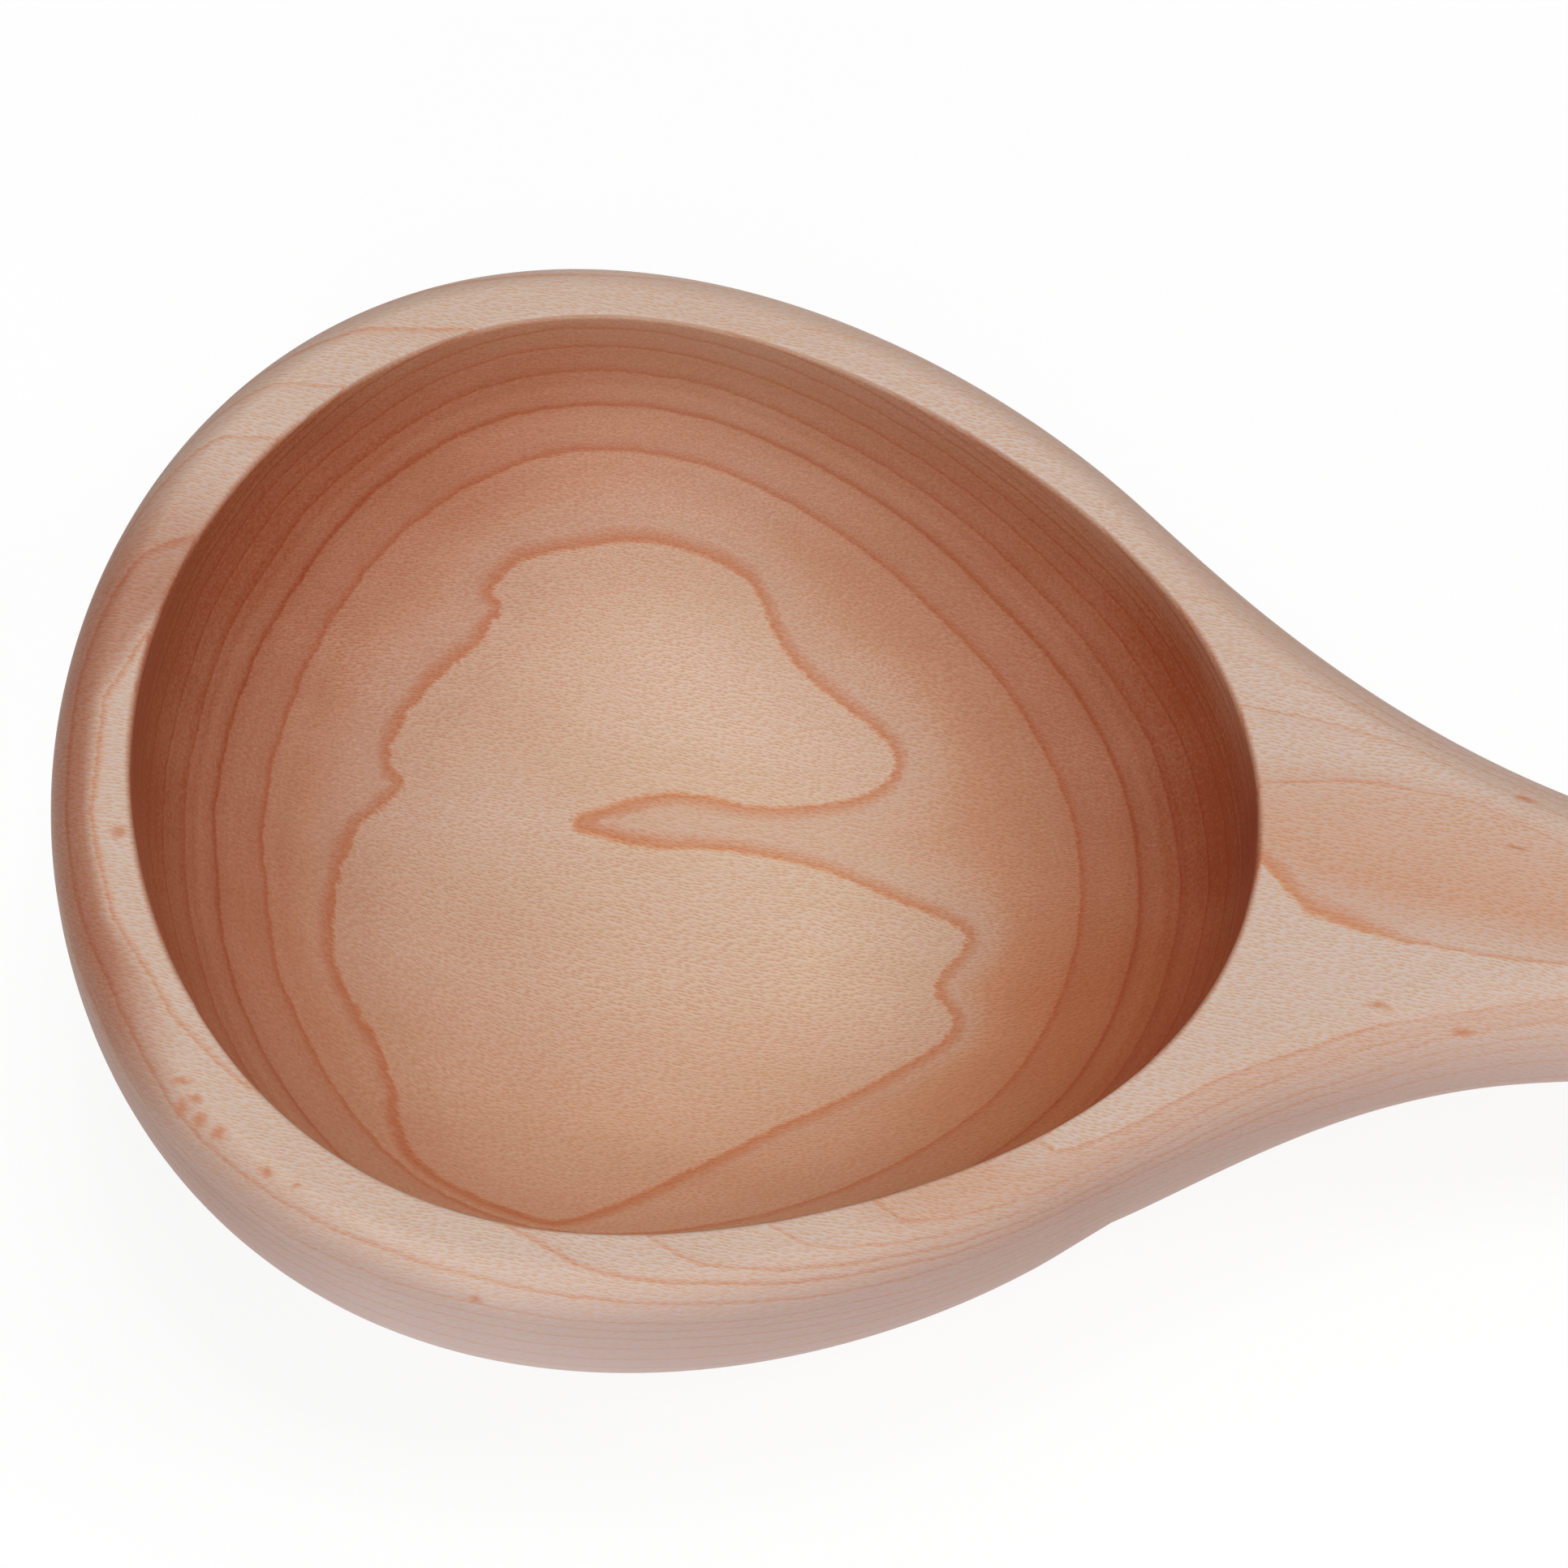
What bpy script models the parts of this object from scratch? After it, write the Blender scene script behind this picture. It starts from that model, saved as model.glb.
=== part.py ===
"""A sampling spoon carved from one piece of maple.

It has a deep egg-shaped bowl with a thick rounded rim, a neck that flares out of the rim, and a long
handle with a round end. The spoon lies as it does on a table: on the flat under its bowl and on the
end of its handle, so that its rim falls a little towards the handle. Metres, +X along the handle,
+Z up, with the origin in the middle of the flat.
"""
from math import cos, pi, radians, sin, sqrt

import bmesh
import bpy
from mathutils import Vector

# Bowl
MOUTH_LENGTH = 0.0760         # opening of the bowl, tip to handle
MOUTH_WIDTH = 0.0720          # opening of the bowl, across its middle
MOUTH_TAPER = 0.107           # narrows the opening towards the handle
MOUTH_FULLNESS = 0.026        # keeps the opening full at its shoulders
BOWL_DEPTH = 0.0225           # rim to the floor of the bowl
BOWL_SQUARENESS = 2.3         # 2 is a round hollow, more has steeper walls and a flatter floor
FLOOR_THICKNESS = 0.0055
FOOT_LENGTH = 0.0320          # flat under the bowl
FOOT_WIDTH = 0.0300

# Rim
RIM_AT_TIP = 0.0054           # width of the rim at the tip of the bowl
RIM_AT_SIDE = 0.0055          # width of the rim at the sides
RIM_TAPER = 0.170             # narrows the outer outline towards the handle
RIM_ROUNDING = 0.0031         # outer edge of the rim
MOUTH_EASE = 0.0004           # inner edge of the rim, broken with fine paper

# Neck and handle
NECK_ANGLE = radians(50.6)    # where the neck leaves the bowl's outline, counted from the handle
NECK_REACH = 0.0312           # end of the rim to the start of the handle
NECK_HOLLOW_BOWL = 0.0095     # how far the neck keeps the bowl's direction
NECK_HOLLOW_HANDLE = 0.0236   # how far the neck keeps the handle's direction
KEEL_RISE = 0.0395            # length over which the underside climbs from the foot to the handle
HANDLE_LENGTH = 0.1600        # end of the neck to the middle of the round end
HANDLE_WIDTH = 0.0176         # narrowest, where the neck ends
HANDLE_END_WIDTH = 0.0240
HANDLE_THICKNESS = 0.0105
HANDLE_ROUNDING = 0.0057      # upper edges of the handle

MOST_ROUNDING = 0.9           # share of the wood beside an edge that its rounding may take

MAPLE_COLOUR = (0.604, 0.397, 0.287, 1.0)
MAPLE_ROUGHNESS = 0.5

# Fineness of the surface, in steps
BOWL_STEPS = 28               # round the bowl, tip to neck
NECK_STEPS = 16
MOUTH_STEPS = 10              # those of the neck's steps that close the mouth of the bowl
FOOT_STEPS = 3                # those of the neck's steps that close the foot
HANDLE_STEPS = 9
END_STEPS = 8
HOLLOW_STEPS = 12             # down the inside
TOP_STEPS = 2                 # over the flat of the rim, neck and handle
ROUNDING_STEPS = 5            # over the rim's outer edge
SIDE_STEPS = 10               # down the outside
WELD = 0.000001

RIM_HEIGHT = BOWL_DEPTH + FLOOR_THICKNESS
RIM_END = MOUTH_LENGTH / 2 + RIM_AT_TIP
HANDLE_START = RIM_END + NECK_REACH
END_CENTRE = HANDLE_START + HANDLE_LENGTH
END_RADIUS = HANDLE_END_WIDTH / 2
FOOT_END = FOOT_LENGTH / 2
HANDLE_EDGE = min(HANDLE_ROUNDING, MOST_ROUNDING * min(HANDLE_THICKNESS, HANDLE_WIDTH / 2, END_RADIUS))


def rim_slope():
    """Fall of the rim that brings the underside of the round end down onto the table.

    The end's underside is a quarter of an ellipse, END_RADIUS long and as deep as the handle is below
    its upper edges, so the slope is that of a line touching the ellipse.
    """
    drop = RIM_HEIGHT - HANDLE_EDGE
    belly = HANDLE_THICKNESS - HANDLE_EDGE
    span = END_CENTRE ** 2 - END_RADIUS ** 2
    root = (drop * END_CENTRE) ** 2 - span * (drop ** 2 - belly ** 2)
    return (drop * END_CENTRE - sqrt(root)) / span


RIM_SLOPE = rim_slope()


def raised(point, depth):
    """Point in space at a depth below the rim, over a point of the plan."""
    return Vector((point.x, point.y, RIM_HEIGHT - RIM_SLOPE * point.x - depth))


def ease(share):
    """Smooth step from 0 to 1."""
    share = min(max(share, 0.0), 1.0)
    return share * share * (3 - 2 * share)


def mouth(angle):
    """Inner edge of the rim in plan. The angle is 0 at the handle and pi at the tip."""
    width = 1 - MOUTH_TAPER * cos(angle) + MOUTH_FULLNESS * cos(3 * angle)
    return Vector((MOUTH_LENGTH / 2 * cos(angle), MOUTH_WIDTH / 2 * sin(angle) * width))


def rim_outline(angle):
    """Outer edge of the rim in plan."""
    half_width = (MOUTH_WIDTH / 2 + RIM_AT_SIDE) * (1 - RIM_TAPER * cos(angle))
    return Vector((RIM_END * cos(angle), half_width * sin(angle)))


def foot(angle):
    """Edge of the flat under the bowl in plan."""
    return Vector((FOOT_END * cos(angle), FOOT_WIDTH / 2 * sin(angle)))


def heading(curve, angle):
    """Direction in which a plan curve runs from the tip towards the handle."""
    step = 0.001
    return (curve(angle - step) - curve(angle + step)).normalized()


def inward(direction):
    """Direction to the right of a heading, towards the middle of the spoon."""
    return Vector((direction.y, -direction.x))


def neck_outline(share):
    """Place and heading on the neck's hollow curve, from the bowl's outline to the handle."""
    start = rim_outline(NECK_ANGLE)
    end = Vector((HANDLE_START, HANDLE_WIDTH / 2))
    leaving = start + heading(rim_outline, NECK_ANGLE) * NECK_HOLLOW_BOWL
    arriving = end - Vector((NECK_HOLLOW_HANDLE, 0.0))
    first = start.lerp(leaving, share)
    second = leaving.lerp(arriving, share)
    third = arriving.lerp(end, share)
    before = first.lerp(second, share)
    after = second.lerp(third, share)
    return before.lerp(after, share), (after - before).normalized()


class Column:
    """One cut through the spoon, from the middle of its top over its edge and in under it.

    top is where the flat of the top starts in plan: on the mouth of the bowl, or on the middle line of
    the neck and handle. edge is the widest point, and core the point that the underside runs in to.
    """

    def __init__(self, top, edge, direction, core, depth, rounding):
        self.top = top
        self.edge = edge
        self.inward = inward(direction)
        self.core = core
        self.depth = depth
        self.rounding = min(rounding, MOST_ROUNDING * (edge - top).length)

    def flat_point(self, row):
        """Point of a row on the flat top."""
        shoulder = self.edge + self.inward * self.rounding
        return raised(self.top.lerp(shoulder, row / TOP_STEPS), 0.0)

    def side_point(self, row):
        """Point of a row on the side, over the rounded edge first and then down to the core."""
        if row <= ROUNDING_STEPS:
            turn = row / ROUNDING_STEPS * pi / 2
            place = self.edge + self.inward * self.rounding * (1 - sin(turn))
            return raised(place, self.rounding * (1 - cos(turn)))
        turn = (row - ROUNDING_STEPS) / SIDE_STEPS * pi / 2
        place = self.edge.lerp(self.core, 1 - cos(turn))
        return raised(place, self.rounding + (self.depth - self.rounding) * sin(turn))


def table_depth(core):
    """Depth of the table below the rim."""
    return RIM_HEIGHT - RIM_SLOPE * core.x


def keel_depth(core):
    """Depth of the underside below the rim, along the middle of the neck."""
    climb = ease((core.x - FOOT_END) / KEEL_RISE)
    return table_depth(core) * (1 - climb) + HANDLE_THICKNESS * climb


def mouth_angles():
    """Angles round half of the mouth: beside the bowl's columns, then beside those that begin the neck."""
    angles = [pi + (NECK_ANGLE - pi) * i / BOWL_STEPS for i in range(BOWL_STEPS)]
    return angles + [NECK_ANGLE * (1 - i / MOUTH_STEPS) for i in range(MOUTH_STEPS + 1)]


def eased_mouth(angle):
    """Inner edge of the rim's flat in plan, just outside the broken edge."""
    return mouth(angle) - inward(heading(mouth, angle)) * MOUTH_EASE


def along_middle(start, share):
    """Point of the middle line in plan, from a start on it to the handle."""
    return Vector((start + (HANDLE_START - start) * share, 0.0))


def bowl_columns(angles):
    """Columns round the bowl, from the tip to where the neck leaves it."""
    columns = []
    for angle in angles[:BOWL_STEPS + 1]:
        core = foot(angle)
        edge = rim_outline(angle)
        direction = heading(rim_outline, angle)
        columns.append(Column(eased_mouth(angle), edge, direction, core, table_depth(core), RIM_ROUNDING))
    return columns


def neck_columns(angles):
    """Columns along the neck, which close the mouth above and the foot below, then follow the middle."""
    columns = []
    for i in range(1, NECK_STEPS + 1):
        share = i / NECK_STEPS
        edge, direction = neck_outline(share)
        if i <= MOUTH_STEPS:
            top = eased_mouth(angles[BOWL_STEPS + i])
        else:
            top = along_middle(eased_mouth(0.0).x, (i - MOUTH_STEPS) / (NECK_STEPS - MOUTH_STEPS))
        if i <= FOOT_STEPS:
            core = foot(NECK_ANGLE * (1 - i / FOOT_STEPS))
        else:
            core = along_middle(FOOT_END, (i - FOOT_STEPS) / (NECK_STEPS - FOOT_STEPS))
        rounding = RIM_ROUNDING + (HANDLE_EDGE - RIM_ROUNDING) * ease(share)
        columns.append(Column(top, edge, direction, core, keel_depth(core), rounding))
    return columns


def handle_columns():
    """Columns along the handle and round its end."""
    columns = []
    spread = HANDLE_END_WIDTH - HANDLE_WIDTH
    for i in range(1, HANDLE_STEPS + 1):
        share = i / HANDLE_STEPS
        middle = Vector((HANDLE_START + HANDLE_LENGTH * share, 0.0))
        edge = Vector((middle.x, (HANDLE_WIDTH + spread * ease(share)) / 2))
        direction = Vector((HANDLE_LENGTH, spread * 3 * share * (1 - share))).normalized()
        columns.append(Column(middle, edge, direction, middle, HANDLE_THICKNESS, HANDLE_EDGE))
    centre = Vector((END_CENTRE, 0.0))
    for i in range(1, END_STEPS + 1):
        turn = i / END_STEPS * pi / 2
        edge = centre + Vector((sin(turn), cos(turn))) * END_RADIUS
        direction = Vector((cos(turn), -sin(turn)))
        columns.append(Column(centre, edge, direction, centre, HANDLE_THICKNESS, HANDLE_EDGE))
    return columns


def patch(bm, across, down, place):
    """Lay a grid of quads over part of the surface: place(i, j) gives the point of column i and row j."""
    grid = bmesh.ops.create_grid(bm, x_segments=across, y_segments=down, size=0.5)
    for vert in grid["verts"]:
        vert.co = place(round((vert.co.x + 0.5) * across), round((vert.co.y + 0.5) * down))


def add_hollow(bm, angles):
    """Inside of the bowl, from the inner edge of the rim to the middle of the floor."""
    power = 2 / BOWL_SQUARENESS

    def place(i, j):
        turn = j / HOLLOW_STEPS * pi / 2
        across = max(cos(turn), 0.0) ** power if j < HOLLOW_STEPS else 0.0
        depth = MOUTH_EASE + (BOWL_DEPTH - MOUTH_EASE) * sin(turn) ** power
        return raised(mouth(angles[i]) * across, depth)

    patch(bm, len(angles) - 1, HOLLOW_STEPS, place)


def add_mouth_edge(bm, angles):
    """Broken inner edge of the rim."""

    def place(i, j):
        return raised(eased_mouth(angles[i]), 0.0) if j else raised(mouth(angles[i]), MOUTH_EASE)

    patch(bm, len(angles) - 1, 1, place)


def add_top(bm, columns):
    """Flat of the rim, the neck and the handle, out to their rounded edges."""
    patch(bm, len(columns) - 1, TOP_STEPS, lambda i, j: columns[i].flat_point(j))


def add_side(bm, columns):
    """Rounded edge and side of the spoon, round the bowl, along the neck and handle, and round the end."""
    patch(bm, len(columns) - 1, ROUNDING_STEPS + SIDE_STEPS, lambda i, j: columns[i].side_point(j))


def add_foot(bm, columns):
    """Flat under the bowl."""

    def place(i, j):
        core = columns[i].core
        return raised(core * (1 - j), table_depth(core * (1 - j)))

    patch(bm, len(columns) - 1, 1, place)


def maple():
    """Satin oiled maple."""
    material = bpy.data.materials.new("oiled_maple")
    material.use_nodes = True
    shader = material.node_tree.nodes["Principled BSDF"]
    shader.inputs["Base Color"].default_value = MAPLE_COLOUR
    shader.inputs["Roughness"].default_value = MAPLE_ROUGHNESS
    shader.inputs["Metallic"].default_value = 0.0
    return material


def build_spoon(collection):
    """Half of the spoon as one surface, mirrored into the whole."""
    angles = mouth_angles()
    bowl = bowl_columns(angles)
    neck = neck_columns(angles)
    columns = bowl + neck + handle_columns()
    bm = bmesh.new()
    add_hollow(bm, angles)
    add_mouth_edge(bm, angles)
    add_top(bm, columns)
    add_side(bm, columns)
    add_foot(bm, bowl + neck[:FOOT_STEPS])
    bmesh.ops.remove_doubles(bm, verts=bm.verts, dist=WELD)
    bmesh.ops.recalc_face_normals(bm, faces=bm.faces)
    mesh = bpy.data.meshes.new("spoon")
    bm.to_mesh(mesh)
    bm.free()
    mesh.shade_smooth()
    mesh.materials.append(maple())
    spoon = bpy.data.objects.new("spoon", mesh)
    collection.objects.link(spoon)
    mirror = spoon.modifiers.new("far side", "MIRROR")
    mirror.use_axis = (False, True, False)
    mirror.merge_threshold = 10 * WELD


def main():
    for old in list(bpy.data.objects):
        bpy.data.objects.remove(old)
    collection = bpy.data.collections.new("sampling_spoon")
    bpy.context.scene.collection.children.link(collection)
    build_spoon(collection)


main()
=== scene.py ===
"""Looks of a sampling spoon carved from one piece of maple and rubbed with oil.

The frame holds the spoon's solid. This script lays a fine skin of the same shape over it, grows the
figure of the wood through that skin, and sets the spoon on a white studio floor before the camera.
Metres, +X along the handle, +Z up, with the origin in the middle of the flat under the bowl.
"""
import logging
from dataclasses import dataclass, field
from enum import Enum
from math import cos, pi, radians, sin, sqrt
from typing import Any, Callable

import bmesh
import bpy
import numpy as np
from mathutils import Matrix, Vector, noise


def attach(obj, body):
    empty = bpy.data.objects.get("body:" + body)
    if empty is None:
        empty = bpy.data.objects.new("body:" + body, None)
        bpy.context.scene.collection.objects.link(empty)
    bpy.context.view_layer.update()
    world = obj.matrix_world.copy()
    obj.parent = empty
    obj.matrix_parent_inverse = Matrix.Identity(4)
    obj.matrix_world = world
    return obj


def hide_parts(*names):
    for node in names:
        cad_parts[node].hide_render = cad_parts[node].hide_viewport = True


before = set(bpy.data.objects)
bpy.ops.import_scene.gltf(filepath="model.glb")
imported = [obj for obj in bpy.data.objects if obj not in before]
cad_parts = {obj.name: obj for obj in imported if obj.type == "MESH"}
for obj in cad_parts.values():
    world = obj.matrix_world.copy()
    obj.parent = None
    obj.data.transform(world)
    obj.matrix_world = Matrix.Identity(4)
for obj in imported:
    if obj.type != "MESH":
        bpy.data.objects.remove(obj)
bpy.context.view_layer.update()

LOG = logging.getLogger("sampling_spoon")
MM = 0.001

# Gives the point of a column and a row of a patch.
Place = Callable[[int, int], Vector]

# Two values between which a share grows from 0 to 1, and a pair that gives all of the spoon the share 1.
Ramp = tuple[float, float]
EVERYWHERE: Ramp = (-2000.0, -1000.0)

# Settings and inputs that several nodes share. The last three say how much fine detail a noise has.
MULTIPLY = {"operation": "MULTIPLY"}
SMOOTH = {"interpolation_type": "SMOOTHSTEP"}
FALLING = {"To Min": 1.0, "To Max": 0.0}
SOFT = {"Detail": 1.0}
UNEVEN = {"Detail": 2.0}
ROUGH = {"Detail": 3.0}


class Blend(Enum):
    """How a layer of colour lies on the colour under it."""

    COVER = "MIX"
    STAIN = "MULTIPLY"


def linear(hex_colour: str) -> tuple[float, float, float, float]:
    """Turn an sRGB hex colour into linear light.

    Args:
        hex_colour: Six hex digits.

    Returns:
        Red, green, blue and an alpha of 1.
    """
    channels = [int(hex_colour[i:i + 2], 16) / 255 for i in (0, 2, 4)]
    light = [c / 12.92 if c <= 0.04045 else ((c + 0.055) / 1.055) ** 2.4 for c in channels]
    return (light[0], light[1], light[2], 1.0)


def ease(share: float) -> float:
    """Smooth step from 0 to 1."""
    share = min(max(share, 0.0), 1.0)
    return share * share * (3 - 2 * share)


def ramp(values: np.ndarray, between: Ramp) -> np.ndarray:
    """Shares that grow from 0 to 1 between two values."""
    start, end = between
    return np.clip((values - start) / (end - start), 0, 1)


def add_node(tree: bpy.types.NodeTree, kind: str, settings: dict[str, Any] | None = None,
             inputs: dict[str | int, Any] | None = None) -> bpy.types.Node:
    """Add a node with its settings, and fill or link its inputs.

    Args:
        tree: The node tree to add to.
        kind: The node's type.
        settings: Its properties by name.
        inputs: A value, or a socket to link from, for each input by name or place.

    Returns:
        The new node.
    """
    node = tree.nodes.new(kind)
    for name, value in (settings or {}).items():
        setattr(node, name, value)
    for name, value in (inputs or {}).items():
        if isinstance(value, bpy.types.NodeSocket):
            tree.links.new(value, node.inputs[name])
        else:
            node.inputs[name].default_value = value
    return node


@dataclass(frozen=True)
class SpoonShape:
    """Sizes of the spoon in metres, as the solid has them, and its curves in plan."""

    mouth_length: float = 0.0760
    mouth_width: float = 0.0720
    mouth_taper: float = 0.107
    mouth_fullness: float = 0.026
    bowl_depth: float = 0.0225
    bowl_squareness: float = 2.3
    floor_thickness: float = 0.0055
    foot_length: float = 0.0320
    foot_width: float = 0.0300
    rim_at_tip: float = 0.0054
    rim_at_side: float = 0.0055
    rim_taper: float = 0.170
    rim_rounding: float = 0.0031
    mouth_ease: float = 0.0004
    neck_angle: float = radians(50.6)
    neck_reach: float = 0.0312
    neck_hollow_bowl: float = 0.0095
    neck_hollow_handle: float = 0.0236
    keel_rise: float = 0.0395
    handle_length: float = 0.1600
    handle_width: float = 0.0176
    handle_end_width: float = 0.0240
    handle_thickness: float = 0.0105
    handle_rounding: float = 0.0057

    @property
    def rim_height(self) -> float:
        """Height of the rim over the middle of the foot."""
        return self.bowl_depth + self.floor_thickness

    @property
    def rim_end(self) -> float:
        """Outer edge of the rim on the middle line."""
        return self.mouth_length / 2 + self.rim_at_tip

    @property
    def handle_start(self) -> float:
        """Where the neck has become the handle."""
        return self.rim_end + self.neck_reach

    @property
    def end_centre(self) -> float:
        """Middle of the handle's round end."""
        return self.handle_start + self.handle_length

    @property
    def end_radius(self) -> float:
        """Radius of the handle's round end in plan."""
        return self.handle_end_width / 2

    @property
    def rim_slope(self) -> float:
        """Fall of the rim that lays the handle's round end on the table.

        Returns:
            Metres down for each metre along the spoon.
        """
        drop = self.rim_height - self.handle_rounding
        belly = self.handle_thickness - self.handle_rounding
        span = self.end_centre ** 2 - self.end_radius ** 2
        root = (drop * self.end_centre) ** 2 - span * (drop ** 2 - belly ** 2)
        return (drop * self.end_centre - sqrt(root)) / span

    def table_depth(self, place: Vector) -> float:
        """Depth of the table below the rim."""
        return self.rim_height - self.rim_slope * place.x

    def raised(self, place: Vector, depth: float) -> Vector:
        """Point in space at a depth below the rim, over a place in plan, and not below the table."""
        return Vector((place.x, place.y, max(self.table_depth(place) - depth, 0.0)))

    def mouth(self, angle: float) -> Vector:
        """Inner edge of the rim in plan. The angle is 0 at the handle and pi at the tip."""
        width = 1 - self.mouth_taper * cos(angle) + self.mouth_fullness * cos(3 * angle)
        return Vector((self.mouth_length / 2 * cos(angle), self.mouth_width / 2 * sin(angle) * width))

    def rim_outline(self, angle: float) -> Vector:
        """Outer edge of the rim in plan."""
        half_width = (self.mouth_width / 2 + self.rim_at_side) * (1 - self.rim_taper * cos(angle))
        return Vector((self.rim_end * cos(angle), half_width * sin(angle)))

    def foot(self, angle: float) -> Vector:
        """Edge of the flat under the bowl in plan."""
        return Vector((self.foot_length / 2 * cos(angle), self.foot_width / 2 * sin(angle)))

    @staticmethod
    def heading(curve: Callable[[float], Vector], angle: float) -> Vector:
        """Direction in which a plan curve runs from the tip towards the handle."""
        step = 0.001
        return (curve(angle - step) - curve(angle + step)).normalized()

    def eased_mouth(self, angle: float, share: float = 1.0) -> Vector:
        """Place in plan on the broken inner edge of the rim, share of the way out over it."""
        direction = self.heading(self.mouth, angle)
        return self.mouth(angle) + Vector((-direction.y, direction.x)) * self.mouth_ease * share

    def neck_outline(self, share: float) -> tuple[Vector, Vector]:
        """Follow the neck's hollow curve from the bowl's outline to the handle.

        Args:
            share: How far along the curve, 0 to 1.

        Returns:
            The place in plan and the heading there.
        """
        start = self.rim_outline(self.neck_angle)
        end = Vector((self.handle_start, self.handle_width / 2))
        leaving = start + self.heading(self.rim_outline, self.neck_angle) * self.neck_hollow_bowl
        arriving = end - Vector((self.neck_hollow_handle, 0.0))
        first = start.lerp(leaving, share)
        second = leaving.lerp(arriving, share)
        third = arriving.lerp(end, share)
        before = first.lerp(second, share)
        after = second.lerp(third, share)
        return before.lerp(after, share), (after - before).normalized()

    def keel_depth(self, core: Vector) -> float:
        """Depth of the underside below the rim, along the middle of the neck."""
        climb = ease((core.x - self.foot_length / 2) / self.keel_rise)
        return self.table_depth(core) * (1 - climb) + self.handle_thickness * climb


@dataclass(frozen=True)
class Column:
    """One cut through the spoon: over its top, round its edge and in under it.

    top is where the flat of the top starts in plan, edge the widest point, direction the heading of
    the outline there, and core the point that the underside runs in to. depth is how far below the rim
    the underside lies at the core, and rounding the radius of the edge.
    """

    top: Vector
    edge: Vector
    direction: Vector
    core: Vector
    depth: float
    rounding: float

    def inset(self, share: float) -> Vector:
        """Place in plan a share of the rounding in from the edge."""
        return self.edge + Vector((self.direction.y, -self.direction.x)) * self.rounding * share


@dataclass
class SpoonSkin:
    """The carved spoon as one fine closed skin, built as a half and mirrored."""

    shape: SpoonShape
    bowl_steps: int = 150
    neck_steps: int = 96
    mouth_steps: int = 60
    foot_steps: int = 16
    handle_steps: int = 120
    end_steps: int = 26
    hollow_steps: int = 76
    ease_steps: int = 4
    top_steps: int = 14
    rounding_steps: int = 12
    side_steps: int = 36
    foot_rows: int = 8
    weld: float = 0.000001
    mirror_weld: float = 0.00001

    def build(self) -> bpy.types.Object:
        """Model the skin.

        Returns:
            The new object, smooth shaded, at the origin.
        """
        angles = self.mouth_angles()
        bowl = self.bowl_columns(angles)
        neck = self.neck_columns(angles)
        columns = bowl + neck + self.handle_columns()
        bm = bmesh.new()
        self.add_hollow(bm, angles)
        self.add_mouth_edge(bm, angles)
        self.add_top(bm, columns)
        self.add_side(bm, columns)
        self.add_foot(bm, bowl + neck[:self.foot_steps])
        bmesh.ops.remove_doubles(bm, verts=bm.verts, dist=self.weld)
        geometry = bm.verts[:] + bm.edges[:] + bm.faces[:]
        bmesh.ops.mirror(bm, geom=geometry, axis="Y", merge_dist=self.mirror_weld)
        bmesh.ops.remove_doubles(bm, verts=bm.verts, dist=self.weld)
        bmesh.ops.recalc_face_normals(bm, faces=bm.faces)
        mesh = bpy.data.meshes.new("carved_spoon")
        bm.to_mesh(mesh)
        bm.free()
        mesh.shade_smooth()
        skin = bpy.data.objects.new("carved_spoon", mesh)
        bpy.context.scene.collection.objects.link(skin)
        return skin

    def dress(self, skin: bpy.types.Object, figure: "MapleFigure", finish: "OiledMaple") -> None:
        """Grow the wood's figure through the skin and give it its finish."""
        figure.grow(skin, self.shape)
        skin.data.materials.append(finish.material(self.shape))

    @staticmethod
    def patch(bm: bmesh.types.BMesh, across: int, down: int, place: Place) -> None:
        """Lay a grid of quads over part of the spoon.

        Args:
            bm: The mesh to add to.
            across: Columns of quads.
            down: Rows of quads.
            place: Gives the point of a column and a row.
        """
        grid = bmesh.ops.create_grid(bm, x_segments=across, y_segments=down, size=0.5)
        for vert in grid["verts"]:
            vert.co = place(round((vert.co.x + 0.5) * across), round((vert.co.y + 0.5) * down))

    def mouth_angles(self) -> list[float]:
        """Step round half of the mouth, beside the bowl and then beside the neck.

        Returns:
            The angles.
        """
        neck = self.shape.neck_angle
        angles = [pi + (neck - pi) * i / self.bowl_steps for i in range(self.bowl_steps)]
        return angles + [neck * (1 - i / self.mouth_steps) for i in range(self.mouth_steps + 1)]

    def bowl_columns(self, angles: list[float]) -> list[Column]:
        """Cut through the bowl, from the tip to where the neck leaves it.

        Args:
            angles: Angles round the mouth.

        Returns:
            The columns.
        """
        shape = self.shape
        columns = []
        for angle in angles[:self.bowl_steps + 1]:
            core = shape.foot(angle)
            direction = shape.heading(shape.rim_outline, angle)
            columns.append(Column(shape.eased_mouth(angle), shape.rim_outline(angle), direction, core,
                                  shape.table_depth(core), shape.rim_rounding))
        return columns

    def neck_columns(self, angles: list[float]) -> list[Column]:
        """Cut through the neck. The columns close the mouth and the foot and then follow the middle line.

        Args:
            angles: Angles round the mouth.

        Returns:
            The columns.
        """
        shape = self.shape
        columns = []
        for i in range(1, self.neck_steps + 1):
            share = i / self.neck_steps
            edge, direction = shape.neck_outline(share)
            if i <= self.mouth_steps:
                top = shape.eased_mouth(angles[self.bowl_steps + i])
            else:
                top = self.along_middle(shape.eased_mouth(0.0).x, i, self.mouth_steps)
            if i <= self.foot_steps:
                core = shape.foot(shape.neck_angle * (1 - i / self.foot_steps))
            else:
                core = self.along_middle(shape.foot_length / 2, i, self.foot_steps)
            rounding = shape.rim_rounding + (shape.handle_rounding - shape.rim_rounding) * ease(share)
            columns.append(Column(top, edge, direction, core, shape.keel_depth(core), rounding))
        return columns

    def along_middle(self, start: float, step: int, first: int) -> Vector:
        """Place in plan on the middle line, from a start to the handle, for a step of the neck."""
        share = (step - first) / (self.neck_steps - first)
        return Vector((start + (self.shape.handle_start - start) * share, 0.0))

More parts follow.
